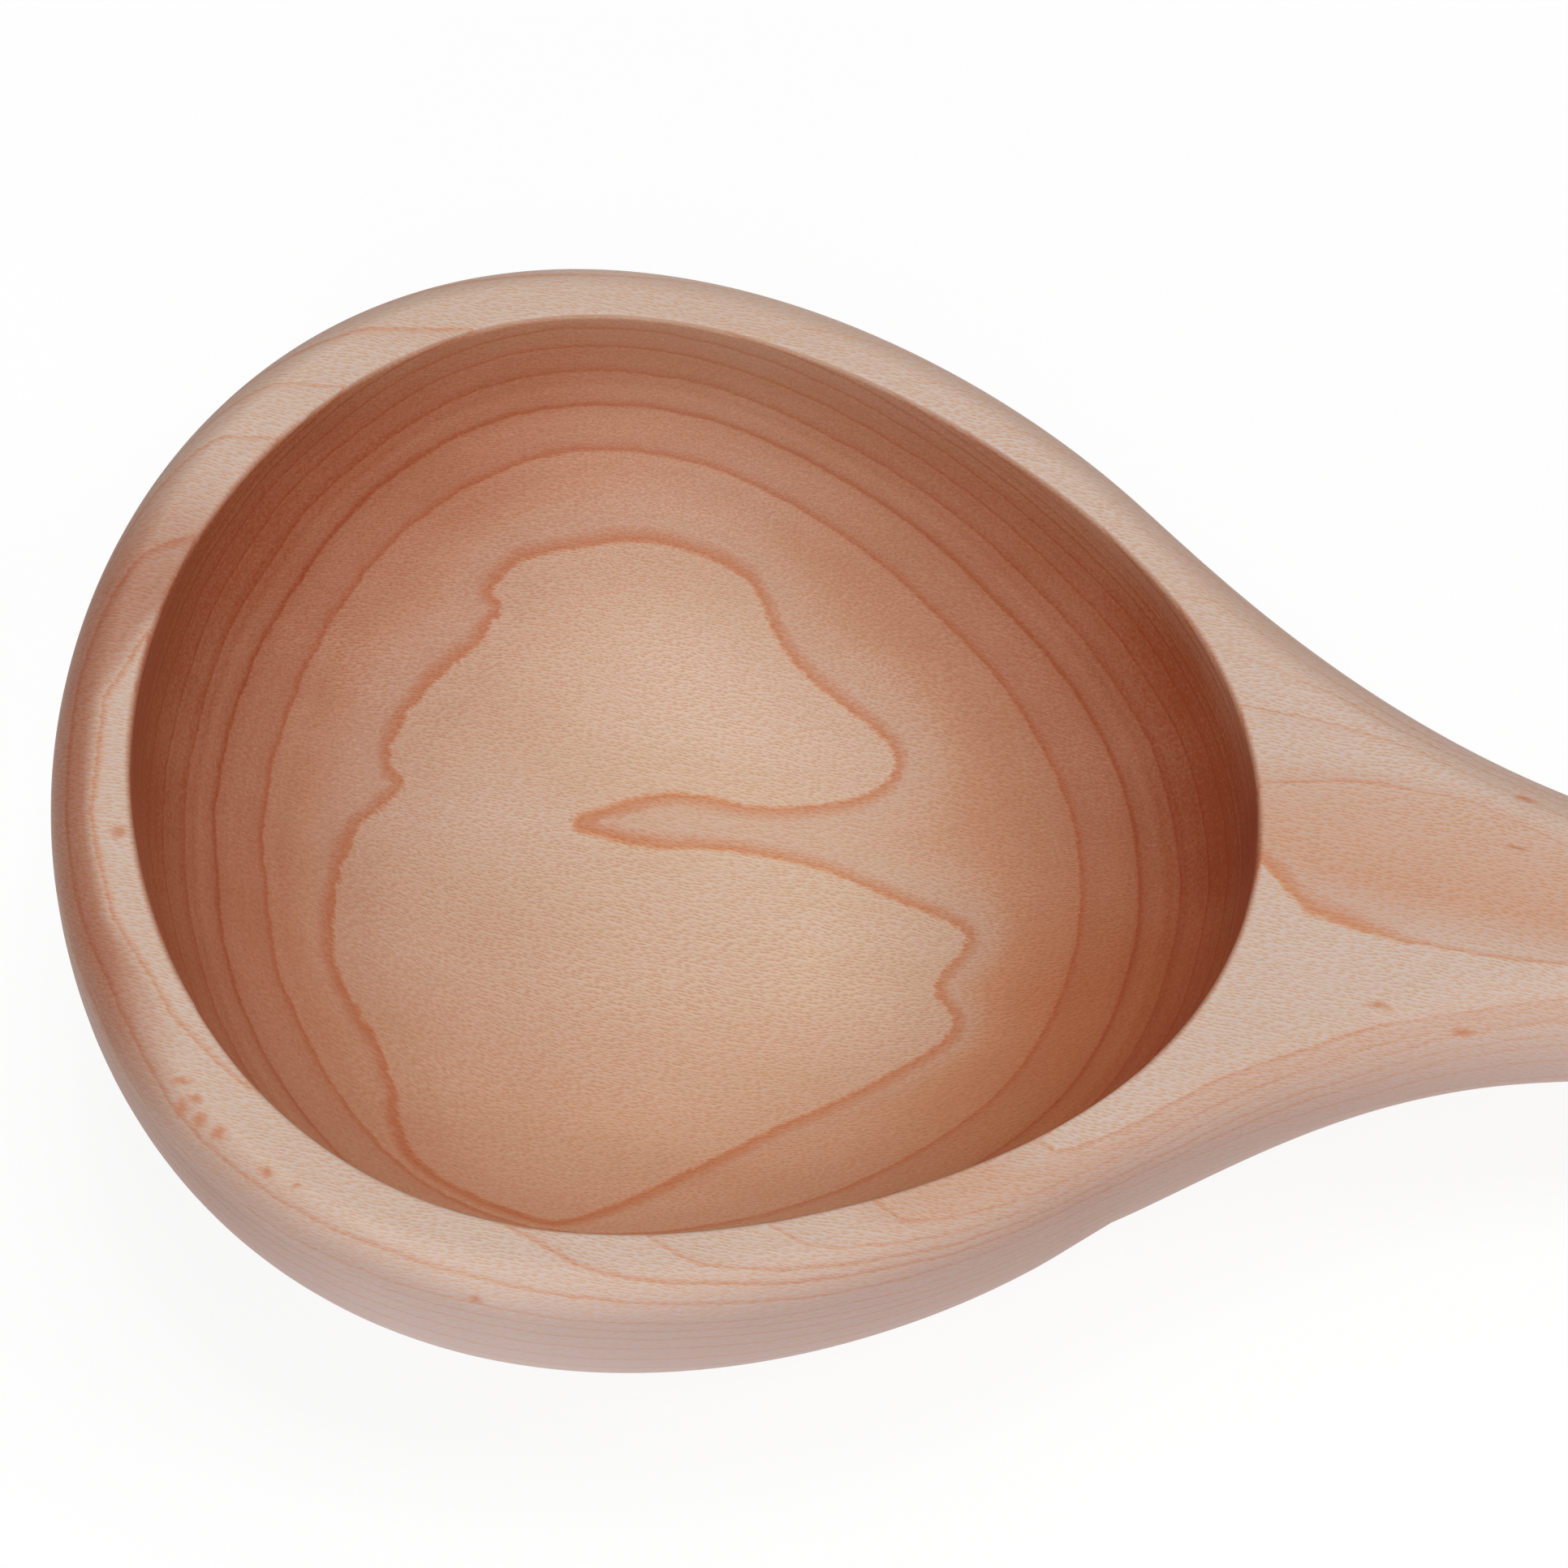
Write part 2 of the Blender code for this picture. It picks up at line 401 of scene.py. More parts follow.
    def handle_columns(self) -> list[Column]:
        """Cut through the handle and round its end.

        Returns:
            The columns.
        """
        shape = self.shape
        columns = []
        spread = shape.handle_end_width - shape.handle_width
        for i in range(1, self.handle_steps + 1):
            share = i / self.handle_steps
            middle = Vector((shape.handle_start + shape.handle_length * share, 0.0))
            edge = Vector((middle.x, (shape.handle_width + spread * ease(share)) / 2))
            direction = Vector((shape.handle_length, spread * 3 * share * (1 - share))).normalized()
            columns.append(Column(middle, edge, direction, middle, shape.handle_thickness,
                                  shape.handle_rounding))
        centre = Vector((shape.end_centre, 0.0))
        for i in range(1, self.end_steps + 1):
            turn = i / self.end_steps * pi / 2
            edge = centre + Vector((sin(turn), cos(turn))) * shape.end_radius
            direction = Vector((cos(turn), -sin(turn)))
            columns.append(Column(centre, edge, direction, centre, shape.handle_thickness,
                                  shape.handle_rounding))
        return columns

    def add_hollow(self, bm: bmesh.types.BMesh, angles: list[float]) -> None:
        """Lay the inside of the bowl, from the inner edge of the rim to the middle of the floor.

        Args:
            bm: The mesh to add to.
            angles: Angles round the mouth.
        """
        shape = self.shape
        power = 2 / shape.bowl_squareness

        def place(i: int, j: int) -> Vector:
            """Place a point of the wall or the floor. The last row meets in the middle.

            Args:
                i: Column round the mouth.
                j: Row down the wall.

            Returns:
                The point.
            """
            turn = j / self.hollow_steps * pi / 2
            across = max(cos(turn), 0.0) ** power if j < self.hollow_steps else 0.0
            depth = shape.mouth_ease + (shape.bowl_depth - shape.mouth_ease) * sin(turn) ** power
            return shape.raised(shape.mouth(angles[i]) * across, depth)

        self.patch(bm, len(angles) - 1, self.hollow_steps, place)

    def add_mouth_edge(self, bm: bmesh.types.BMesh, angles: list[float]) -> None:
        """Lay the inner edge of the rim, rounded over with fine paper.

        Args:
            bm: The mesh to add to.
            angles: Angles round the mouth.
        """
        shape = self.shape

        def place(i: int, j: int) -> Vector:
            """Place a point of the rounded edge, from the wall up to the rim.

            Args:
                i: Column round the mouth.
                j: Row up the edge.

            Returns:
                The point.
            """
            turn = j / self.ease_steps * pi / 2
            edge = shape.eased_mouth(angles[i], 1 - cos(turn))
            return shape.raised(edge, shape.mouth_ease * (1 - sin(turn)))

        self.patch(bm, len(angles) - 1, self.ease_steps, place)

    def add_top(self, bm: bmesh.types.BMesh, columns: list[Column]) -> None:
        """Lay the flat of the rim, the neck and the handle, out to their rounded edges.

        Args:
            bm: The mesh to add to.
            columns: Cuts through the whole spoon.
        """

        def place(i: int, j: int) -> Vector:
            """Point on the flat, from the mouth or the middle line outwards."""
            return self.shape.raised(columns[i].top.lerp(columns[i].inset(1.0), j / self.top_steps), 0.0)

        self.patch(bm, len(columns) - 1, self.top_steps, place)

    def add_side(self, bm: bmesh.types.BMesh, columns: list[Column]) -> None:
        """Lay the rounded edge and the side, round the bowl, along the neck and handle, and round the end.

        Args:
            bm: The mesh to add to.
            columns: Cuts through the whole spoon.
        """

        def place(i: int, j: int) -> Vector:
            """Place a point of the rounding, and then of the side and the underside.

            Args:
                i: Column along the outline.
                j: Row down the side.

            Returns:
                The point.
            """
            column = columns[i]
            if j <= self.rounding_steps:
                turn = j / self.rounding_steps * pi / 2
                return self.shape.raised(column.inset(1 - sin(turn)), column.rounding * (1 - cos(turn)))
            turn = (j - self.rounding_steps) / self.side_steps * pi / 2
            depth = column.rounding + (column.depth - column.rounding) * sin(turn)
            return self.shape.raised(column.edge.lerp(column.core, 1 - cos(turn)), depth)

        self.patch(bm, len(columns) - 1, self.rounding_steps + self.side_steps, place)

    def add_foot(self, bm: bmesh.types.BMesh, columns: list[Column]) -> None:
        """Lay the flat under the bowl.

        Args:
            bm: The mesh to add to.
            columns: Cuts through the bowl and the start of the neck.
        """

        def place(i: int, j: int) -> Vector:
            """Point on the flat, from its edge to its middle."""
            core = columns[i].core * (1 - j / self.foot_rows)
            return self.shape.raised(core, self.shape.table_depth(core))

        self.patch(bm, len(columns) - 1, self.foot_rows, place)


@dataclass(frozen=True)
class Surface:
    """Vertices of the skin: places and depths below the rim in millimetres, normals, and which lie inside."""

    places: np.ndarray
    normals: np.ndarray
    depth: np.ndarray
    hollow: np.ndarray

    @classmethod
    def read(cls, mesh: bpy.types.Mesh, shape: SpoonShape) -> "Surface":
        """Read the vertices of a mesh.

        Args:
            mesh: The skin's mesh.
            shape: The spoon's sizes.

        Returns:
            The surface.
        """
        places = np.empty(len(mesh.vertices) * 3)
        mesh.vertices.foreach_get("co", places)
        places = places.reshape(-1, 3)
        normals = np.array([normal.vector for normal in mesh.vertex_normals])
        depth = (shape.rim_height - shape.rim_slope * places[:, 0] - places[:, 2]) / MM
        return cls(places / MM, normals, depth, cls.in_hollow(places, normals, shape))

    @staticmethod
    def in_hollow(places: np.ndarray, normals: np.ndarray, shape: SpoonShape) -> np.ndarray:
        """Find the vertices inside the bowl.

        Args:
            places: Vertices in metres.
            normals: Their normals.
            shape: The spoon's sizes.

        Returns:
            True for a vertex inside the bowl.
        """
        run = np.clip(places[:, 0] / (shape.mouth_length / 2), -1, 1)
        angle = np.arccos(run)
        width = 1 - shape.mouth_taper * run + shape.mouth_fullness * np.cos(3 * angle)
        half = shape.mouth_width / 2 * np.sin(angle) * width
        inside = np.abs(places[:, 0]) < shape.mouth_length / 2 + shape.mouth_ease / 2
        return inside & (np.abs(places[:, 1]) < half + shape.mouth_ease / 2) & (normals[:, 2] > 0)

    @property
    def x(self) -> np.ndarray:
        """Places along the spoon."""
        return self.places[:, 0]

    @property
    def y(self) -> np.ndarray:
        """Places across the spoon."""
        return self.places[:, 1]

    @property
    def endwise(self) -> np.ndarray:
        """How far the surface faces along the spoon, and so cuts across the grain."""
        return np.abs(self.normals[:, 0])

    @property
    def sideways(self) -> np.ndarray:
        """How far the surface faces to the sides."""
        return np.abs(self.normals[:, 1])

    @property
    def up(self) -> np.ndarray:
        """How far the surface faces up or down."""
        return np.abs(self.normals[:, 2])

    @property
    def steep(self) -> np.ndarray:
        """How steep the surface is, and 1 all over the underside."""
        return np.where(self.hollow | (self.normals[:, 2] > 0), 1 - self.up ** 2, 1.0)


@dataclass(frozen=True)
class Spot:
    """A part of the spoon in plan that gets a share of something, with soft edges in millimetres."""

    share: float
    along: Ramp = EVERYWHERE
    across: Ramp = EVERYWHERE

    def over(self, surface: Surface) -> np.ndarray:
        """The share that each vertex gets."""
        return self.share * ramp(surface.x, self.along) * ramp(surface.y, self.across)


@dataclass(frozen=True)
class RingLine:
    """The dark line that ends a year's growth: its level in the billet in millimetres, and its strength."""

    level: float
    strength: float


@dataclass(frozen=True)
class GrainCurve:
    """A line of the figure on top of the spoon, in plan in millimetres, with its level in the billet."""

    level: float
    points: tuple[tuple[float, float], ...]

    def across(self, x: np.ndarray) -> np.ndarray:
        """How far across the spoon the line lies, at places along it."""
        along, sideways = zip(*self.points)
        return np.interp(x, along, sideways)


@dataclass(frozen=True)
class MapleFigure:
    """How the growth rings lie in the billet, in millimetres, and where the oil soaks in.

    Each ring is a layer that sags across the spoon and falls towards the handle. A line's level is its
    depth below the rim at the middle of the bowl. Above the fold the layers lean the other way. On the
    floor the carving runs along a layer, so the deepest line wanders over it as the island's edge.
    """

    lines_above: tuple[RingLine, ...] = (RingLine(-2.6, 0.3), RingLine(-1.4, 1.0), RingLine(-0.65, 0.45))
    fold: RingLine = RingLine(-0.4, 0.2)
    lines_below: tuple[RingLine, ...] = (
        RingLine(-0.1, 0.4), RingLine(0.5, 0.45), RingLine(1.05, 0.55), RingLine(2.1, 0.45),
        RingLine(3.8, 0.35), RingLine(4.7, 0.3), RingLine(5.8, 0.4), RingLine(7.35, 0.4),
        RingLine(9.4, 0.5), RingLine(11.6, 0.5), RingLine(14.0, 0.65), RingLine(16.6, 0.7),
        RingLine(19.3, 1.0), RingLine(24.5, 0.5), RingLine(28.3, 0.5), RingLine(33.0, 0.5))
    least_rate: float = 0.02
    most_climb: float = 0.35
    fall_to_handle: float = 0.051
    fall_reach: float = 30.0
    tilt_across: float = 0.0695
    sag_across: float = 0.00234
    wander_flat: float = 0.10
    wander_steep: float = 0.25
    wander_length: float = 16.0
    wander_width: float = 7.0
    neck_blend: Ramp = (29.0, 37.0)
    outside_strength: float = 0.6

    # On the rim, lines show more at the left and grow faint at the far side and on the neck.
    rim_strength: float = 1.2
    bold_left: Spot = Spot(0.4, (-8.0, -14.0), (6.0, 12.0))
    faint_far: Spot = Spot(0.85, (-12.0, 2.0), (11.0, 16.0))
    faint_neck: Spot = Spot(0.6, (45.0, 51.0))
    near_edge_along: Ramp = (18.0, 26.0)
    near_edge_across: Ramp = (-1.0, -2.5)
    near_edge_faint: float = 0.55
    near_edge_cool: float = 0.5

    # The oil darkens walls that cut across the grain. A painted sheen lightens and greys the walls under the
    # far and right rim and low on the near right wall.
    side_soak: float = 0.3
    soak_power: float = 0.42
    handle_soak: Spot = Spot(0.14, (0.0, 30.0))
    rounded_face: Ramp = (0.0, 0.5)
    tip_soak: float = 0.4
    tip_wall: Ramp = (0.25, 0.60)
    neck_soak: float = 0.55
    sheen_depth: float = 3.2
    sheen_right: Spot = Spot(1.0, (12.0, 28.0), (-2.0, 12.0))
    sheen_far: Spot = Spot(0.4, across=(20.0, 30.0))
    sheen_soak: float = 0.26
    sheen_warm: float = 0.4
    # Painted sheen: the near right wall of the hollow is made lighter.
    sheen_near_right: Spot = Spot(0.14, (33.0, 36.0), (4.0, 0.0))

    # The edge of the mouth is oiled by the handle and at the tip, and hardly at the sides.
    mouth_points: int = 181
    edge_ends: Ramp = (32.0, 12.0)
    edge_at_sides: float = 2.0
    edge_away: float = 9.0

    # A stained layer comes to the top at the tip, and an orange one on the neck.
    tip_layer: Spot = Spot(0.8, (-30.0, -36.0), (20.0, 8.0))
    tip_levels: Ramp = (1.0, 1.3)
    tip_stain: float = 0.6
    warm_layer: tuple[tuple[float, ...], tuple[float, ...]] = (
        (-1.4, -1.15, -0.75, -0.4), (0.0, 1.0, 0.6, 0.0))
    warm_outside: float = 0.6
    warm_walls: float = 0.55
    warm_handle: Spot = Spot(0.45, (0.0, 20.0))
    # Painted shade: the hollow turns a darker orange towards its near side, where the near wall shades the
    # floor.
    painted_near_shade: Spot = Spot(1.0, across=(8.0, -24.0))
    warm_hollow: float = 0.6
    warm_right: Spot = Spot(0.4, (12.0, 27.0), (12.0, -2.0))
    warm_left: Spot = Spot(0.25, (0.0, -15.0), (0.0, 15.0))
    warm_beyond: Ramp = (-0.15, -0.55)

    # Outside, the top takes up a little oil and the steep sides none, and the grey pink laid there is partly
    # a painted sheen. The dashes turn with the walls, within turn_within of the middle, and fade on the curve
    # of the underside.
    bare_and_sheen_top: float = 0.6
    turn_within: float = 12.0
    underside_fade: float = 7.0

    # Lines on the top that are followed in plan, round the tip and along the neck and the handle.
    tip_steepness: float = 0.2
    tip_along: Ramp = (-24.0, -30.0)
    tip_near: Ramp = (-32.0, -24.0)
    tip_far: Ramp = (16.0, 10.0)
    tip_curve: GrainCurve = GrainCurve(1.05, (
        (-30.0, -25.0), (-25.0, -31.8), (-18.2, -36.7), (-10.4, -39.6), (-1.4, -40.4), (4.8, -38.0),
        (9.0, -35.5), (16.0, -31.0)))
    neck_curves: tuple[GrainCurve, ...] = (
        GrainCurve(-1.55, ((26.8, -25.1), (31.0, -23.3), (36.0, -19.7), (40.0, -17.5), (47.0, -13.0),
                           (60.0, -9.5), (90.0, -8.5), (240.0, -11.5))),
        GrainCurve(-2.05, ((30.0, -15.0), (45.0, -10.5), (60.0, -7.5), (90.0, -6.5), (240.0, -8.5))),
        GrainCurve(-1.4, ((36.0, 1.5), (38.0, -0.4), (41.7, -4.4), (45.7, -6.0), (49.0, -6.7),
                          (55.0, -5.8), (59.5, -5.0), (90.0, -4.0), (240.0, -4.5))),
        GrainCurve(-0.65, ((36.0, 5.6), (44.7, 6.6), (51.4, 6.5), (58.8, 4.1), (90.0, 1.0), (240.0, 0.5))),
        GrainCurve(-0.1, ((36.0, 12.0), (42.1, 11.4), (48.9, 10.1), (54.1, 8.8), (58.7, 7.3),
                          (90.0, 5.5), (240.0, 6.0))),
        GrainCurve(1.6, ((30.0, 26.0), (40.0, 20.0), (50.0, 15.5), (60.0, 12.5), (90.0, 11.0),
                         (240.0, 13.5))))
    boldest_neck_curve: int = 2

    # The island's edge is the line of this ring. Lines have the first strength one ring out from it, and the
    # second from half a ring out inwards.
    island_ring: int = 13
    island_fade: float = 15.0
    island_most: float = 0.6
    island_slope: float = 1.6
    island_gap: float = 0.01
    island_strength: tuple[float, float] = (0.7, 0.95)
    island_smoothing: int = 6
    inlet: tuple[float, float] = (-9.4, 7.8)
    inlet_reach: float = 6.0
    inlet_boost: float = 0.35
    island: tuple[tuple[float, float], ...] = (
        (-8.8, 28.5), (-15.1, 26.1), (-17.8, 23.2), (-17.1, 21.4), (-21.4, 14.7), (-22.7, 11.5),
        (-22.8, 8.4), (-21.9, 7.1), (-24.7, 2.1), (-25.1, -2.1), (-24.6, -7.5), (-22.0, -12.1),
        (-19.9, -14.9), (-18.4, -18.9), (-16.9, -23.2), (-13.3, -25.5), (-8.7, -26.7), (-5.4, -26.4),
        (2.5, -19.3), (7.6, -14.8), (13.8, -10.1), (18.8, -5.2), (17.1, -1.4), (18.9, 2.9), (12.6, 5.9),
        (7.2, 7.6), (1.4, 8.1), (-4.3, 7.5), (-9.4, 7.8), (-8.0, 9.3), (-3.1, 11.6), (3.3, 11.4),
        (9.0, 12.5), (11.4, 13.7), (12.4, 15.3), (11.2, 17.5), (4.3, 22.2), (1.1, 26.4), (-0.2, 27.5),
        (-4.1, 28.6))

    @property
    def line_over_floor(self) -> float:
        """Level of the last line above the island's."""
        return self.lines_below[self.island_ring - 2].level

    def grow(self, skin: bpy.types.Object, shape: SpoonShape) -> None:
        """Store at each vertex the figure that the wood shows there.

        The ring counts the layers, with a reddish line at each whole number. The rate is how many rings pass
        in a millimetre of the surface, the climb how many pass along the spoon, and the line how strong the
        line is. The soak is how much the oil darkens the wood, less where a painted sheen lies under the far
        and right rim, and the edge how far the edge of the mouth is. The warm is how much the wood turns to
        orange, more towards the near side of the hollow as painted shade, and the bare how little oil it
        takes up, which is partly a painted sheen. Along and aside are the place on the surface if its walls
        were laid flat, and the flat is how level it lies.

        Args:
            skin: The spoon's mesh object.
            shape: The spoon's sizes.
        """
        mesh = skin.data
        surface = Surface.read(mesh, shape)
        x, y, up = surface.x, surface.y, surface.up
        level = surface.depth + self.plan_level(surface) + self.wander(surface)
        ring, line = self.rings(surface, level)
        slope = self.surface_slope(mesh, surface, ring)
        # The grey pink outside is partly wood that took up little oil and partly a painted sheen.
        bare_and_sheen = self.bare_and_sheen_top + (1 - self.bare_and_sheen_top) * surface.steep * surface.sideways
        folded = np.where(surface.hollow, shape.bowl_depth / MM - surface.depth, surface.depth)
        folded_inside = np.where(surface.hollow, folded, 0.0)
        turned_under = np.where(surface.normals[:, 2] < 0, self.underside_fade * up ** 2 * (1 - up ** 2), 0.0)
        figure = {
            "ring": ring,
            "rate": np.maximum(np.linalg.norm(slope, axis=1), self.least_rate),
            "climb": np.clip(slope[:, 0], -self.most_climb, self.most_climb) * up,
            "line": line * self.rim_fade(surface),
            "soak": self.soak(surface, level),
            "edge": self.mouth_edge(surface, shape),
            "warm": self.warm(surface, level, ring),
            "bare_and_sheen": np.where(surface.hollow, 0.0, bare_and_sheen),
            "along": x + folded_inside * np.clip(x / self.turn_within, -1, 1),
            "aside": y + folded * np.clip(y / self.turn_within, -1, 1),
            "flat": up - turned_under}
        for name, values in figure.items():
            attribute = mesh.attributes.new(name, "FLOAT", "POINT")
            attribute.data.foreach_set("value", values.astype(np.float32))

    def rings(self, surface: Surface, level: np.ndarray) -> tuple[np.ndarray, np.ndarray]:
        """Count the rings down through the layers.

        Args:
            surface: The vertices.
            level: How deep each lies among the layers.

        Returns:
            The ring of each vertex, and how strong a line is there.
        """
        levels, numbers, strengths = self.ring_table()
        ring = np.interp(level, levels, numbers)
        line = np.interp(level, levels, strengths)
        floor = surface.hollow & (level > self.line_over_floor)
        ring[floor] = self.floor_rings(surface.x[floor], surface.y[floor], level[floor])
        around = (self.island_ring - 1.0, self.island_ring - 0.5)
        line[floor] = np.interp(ring[floor], around, self.island_strength)
        outside = 1.0 - (1.0 - self.outside_strength) * surface.steep
        line *= np.where(surface.hollow, 1.0, outside)
        away = np.hypot(surface.x - self.inlet[0], surface.y - self.inlet[1])
        return ring, line * (1 + self.inlet_boost * np.exp(-away / self.inlet_reach))

    def soak(self, surface: Surface, level: np.ndarray) -> np.ndarray:
        """How much the oil darkens the wood, most where the carving cuts across the grain, and less under a
        painted sheen.

        Args:
            surface: The vertices.
            level: How deep each lies among the layers.

        Returns:
            A share for each vertex.
        """
        endwise = surface.endwise
        inside = (endwise ** 2 + self.side_soak * surface.sideways ** 2) ** self.soak_power
        inside *= 1 + self.handle_soak.over(surface)
        rounded = ramp(surface.normals[:, 2], self.rounded_face)
        outer_wall = ramp(endwise, self.tip_wall) * (1 - rounded)
        tip_end = self.tip_soak * np.maximum(np.sqrt(endwise) * rounded, outer_wall)
        outside = np.where(surface.normals[:, 0] < 0, tip_end, self.neck_soak * endwise)
        soak = np.clip(np.where(surface.hollow, inside, outside), 0, 1)
        # Painted sheen: the walls just under the far and right rim are made lighter and greyer.
        soak -= self.sheen_soak * self.sheen(surface)
        stain = self.tip_stain * self.stained_tip(surface, level) * surface.up
        # The near right wall is made lighter as a painted sheen; outside, the stained layer at the tip
        # darkens the wood.
        return soak + np.where(surface.hollow, -self.sheen_near_right.over(surface), stain)

    def sheen(self, surface: Surface) -> np.ndarray:
        """Painted grey sheen on the walls just under the far and right rim."""
        under_rim = np.where(surface.hollow, np.exp(-(surface.depth / self.sheen_depth) ** 2), 0.0)
        return under_rim * np.maximum(self.sheen_right.over(surface), self.sheen_far.over(surface))

    def stained_tip(self, surface: Surface, level: np.ndarray) -> np.ndarray:
        """Where the stained layer comes to the top at the tip."""
        return self.tip_layer.over(surface) * ramp(level, self.tip_levels)

    def warm(self, surface: Surface, level: np.ndarray, ring: np.ndarray) -> np.ndarray:
        """How much the wood turns to orange, round the island inside the bowl and on the neck, with painted
        shade towards the near side of the hollow and less orange under a painted sheen.

        Args:
            surface: The vertices.
            level: How deep each lies among the layers.
            ring: The ring of each.

        Returns:
            A share for each vertex.
        """
        beyond = ramp(ring - self.island_ring, self.warm_beyond)
        # Painted shade: darker orange towards the near side of the hollow.
        walls = (self.warm_walls + self.warm_handle.over(surface)) * beyond + self.painted_near_shade.over(surface)
        walls = self.warm_hollow * np.minimum(walls, 1) + self.warm_right.over(surface) * beyond
        walls += self.warm_left.over(surface) * (1 - surface.up ** 2)
        # Painted sheen: less orange just under the far and right rim.
        walls -= self.sheen_warm * self.sheen(surface)
        layer = np.interp(level, *self.warm_layer) * (1 - self.near_edge_cool * self.by_near_edge(surface))
        outside = np.maximum(layer, self.stained_tip(surface, level)) * surface.up * self.warm_outside
        return np.where(surface.hollow, np.clip(walls, 0, 1), outside)

    def mouth_edge(self, surface: Surface, shape: SpoonShape) -> np.ndarray:
        """How far the oiled edge of the mouth is, straight out from the bowl's middle or down its wall.

        Args:
            surface: The vertices.
            shape: The spoon's sizes.

        Returns:
            Millimetres for each vertex.
        """
        mouth = np.array([shape.mouth(angle) / MM for angle in np.linspace(0, pi, self.mouth_points)])
        bearing = np.arctan2(np.abs(surface.y), surface.x)
        reach = np.interp(bearing, np.arctan2(mouth[:, 1], mouth[:, 0]), np.hypot(*mouth.T))
        outside = np.clip(np.hypot(surface.x, surface.y) - reach, 0, None)
        beside = np.where(surface.hollow, surface.depth, outside)
        beside += self.edge_at_sides * ramp(np.abs(surface.x), self.edge_ends)
        return np.where(surface.normals[:, 2] > 0, beside, self.edge_away)

    def rim_fade(self, surface: Surface) -> np.ndarray:
        """How much of a line's strength is left on the rim, the neck and the handle.

        Args:
            surface: The vertices.

        Returns:
            A factor for each vertex.
        """
        faint = 1.0 - self.faint_far.over(surface) - self.near_edge_faint * self.by_near_edge(surface)
        bold = self.rim_strength + self.bold_left.over(surface) - self.faint_neck.over(surface)
        return np.where(surface.hollow, 1.0, faint * bold)

    def by_near_edge(self, surface: Surface) -> np.ndarray:
        """Where the neck lies between its near edge and its boldest line."""
        beside = surface.y - self.neck_curves[self.boldest_neck_curve].across(surface.x)
        return ramp(surface.x, self.near_edge_along) * ramp(beside, self.near_edge_across)

    def plan_level(self, surface: Surface) -> np.ndarray:
        """Find the layer that comes to the rim's plane over each vertex.

        Args:
            surface: The vertices.

        Returns:
            The layer's level.
        """
        x, y = surface.x, surface.y
        bowl = self.tilt_across * y + self.sag_across * y ** 2
        bowl -= self.fall_to_handle * self.fall_reach * np.tanh(x / self.fall_reach)
        sides = np.array([curve.across(x) for curve in self.neck_curves])
        neck = np.full(len(x), self.neck_curves[0].level)
        for low, high, first, second in zip(sides, sides[1:], self.neck_curves, self.neck_curves[1:]):
            neck += (second.level - first.level) * np.clip((y - low) / (high - low), 0, 1)
        share = np.where(surface.hollow, 0.0, ramp(x, self.neck_blend))
        bowl += (neck - bowl) * share * share * (3 - 2 * share)
        tip = self.tip_curve.level - self.tip_steepness * (x - self.tip_curve.across(y))
        share = ramp(x, self.tip_along) * ramp(y, self.tip_near) * ramp(y, self.tip_far)
        return bowl + (tip - bowl) * np.where(surface.hollow, 0.0, share)

    def wander(self, surface: Surface) -> np.ndarray:
        """Let the layers wander slowly, more where the surface is steep.

        Args:
            surface: The vertices.

        Returns:
            Millimetres to add to the level of each.
        """
        size = np.array((self.wander_length, self.wander_width, self.wander_width))
        slow = np.array([noise.noise(Vector(place)) for place in surface.places / size])
        return slow * (self.wander_flat + self.wander_steep * (1 - surface.up ** 2))

    def ring_table(self) -> tuple[list[float], list[float], list[float]]:
        """Number the lines outwards from the fold, which lies half a ring from the first on either side.

        Returns:
            Levels of the lines from the top down, with the ring's number and the line's strength at each.
        """
        lines = self.lines_above + (self.fold,) + self.lines_below
        above = [float(len(self.lines_above) - i) for i in range(len(self.lines_above))]
        below = [float(i + 1) for i in range(len(self.lines_below))]
        return [line.level for line in lines], above + [0.5] + below, [line.strength for line in lines]

    def floor_rings(self, x: np.ndarray, y: np.ndarray, level: np.ndarray) -> np.ndarray:
        """Count the rings on the floor of the bowl, inside and outside the island.

        Args:
            x: Places along the spoon in millimetres.
            y: Places across it.
            level: How deep each place lies among the layers.

        Returns:
            The ring that each place lies in.
        """
        away = self.distance_outside(x, y)
        below = self.island_slope * (level - self.line_over_floor)
        past_edge = np.maximum(away, 0)
        outside = self.island_ring - past_edge / (past_edge + np.maximum(below, self.island_gap))
        inside = self.island_ring + np.minimum(-away / self.island_fade, self.island_most)
        return np.where(away > 0, outside, inside)

    def distance_outside(self, x: np.ndarray, y: np.ndarray) -> np.ndarray:
        """Measure how far places lie from the island's edge.

        Args:
            x: Places along the spoon in millimetres.
            y: Places across it.

        Returns:
            The distance of each, negative on the island.
        """
        edge = self.smooth_edge()
        nearest = np.full(len(x), np.inf)
        crossings = np.zeros(len(x), int)
        for (x0, y0), (x1, y1) in zip(edge, np.roll(edge, -1, axis=0)):
            run = np.array((x1 - x0, y1 - y0))
            share = np.clip(((x - x0) * run[0] + (y - y0) * run[1]) / (run @ run), 0, 1)
            nearest = np.minimum(nearest, np.hypot(x - x0 - share * run[0], y - y0 - share * run[1]))
            if y0 != y1:
                level_with = (y0 > y) != (y1 > y)
                crossings += level_with & (x < x0 + (y - y0) * run[0] / run[1])
        return np.where(crossings % 2 == 1, -nearest, nearest)

    def smooth_edge(self) -> np.ndarray:
        """Draw a smooth closed curve through the island's outline.

        Returns:
            Points on the curve.
        """
        p1 = np.array(self.island)
        p0, p2, p3 = np.roll(p1, 1, axis=0), np.roll(p1, -1, axis=0), np.roll(p1, -2, axis=0)
        points = []
        for share in np.arange(self.island_smoothing) / self.island_smoothing:
            bend = (2 * p0 - 5 * p1 + 4 * p2 - p3) * share ** 2 + (3 * p1 - p0 - 3 * p2 + p3) * share ** 3
            points.append(p1 + 0.5 * ((p2 - p0) * share + bend))
        return np.stack(points, axis=1).reshape(-1, 2)

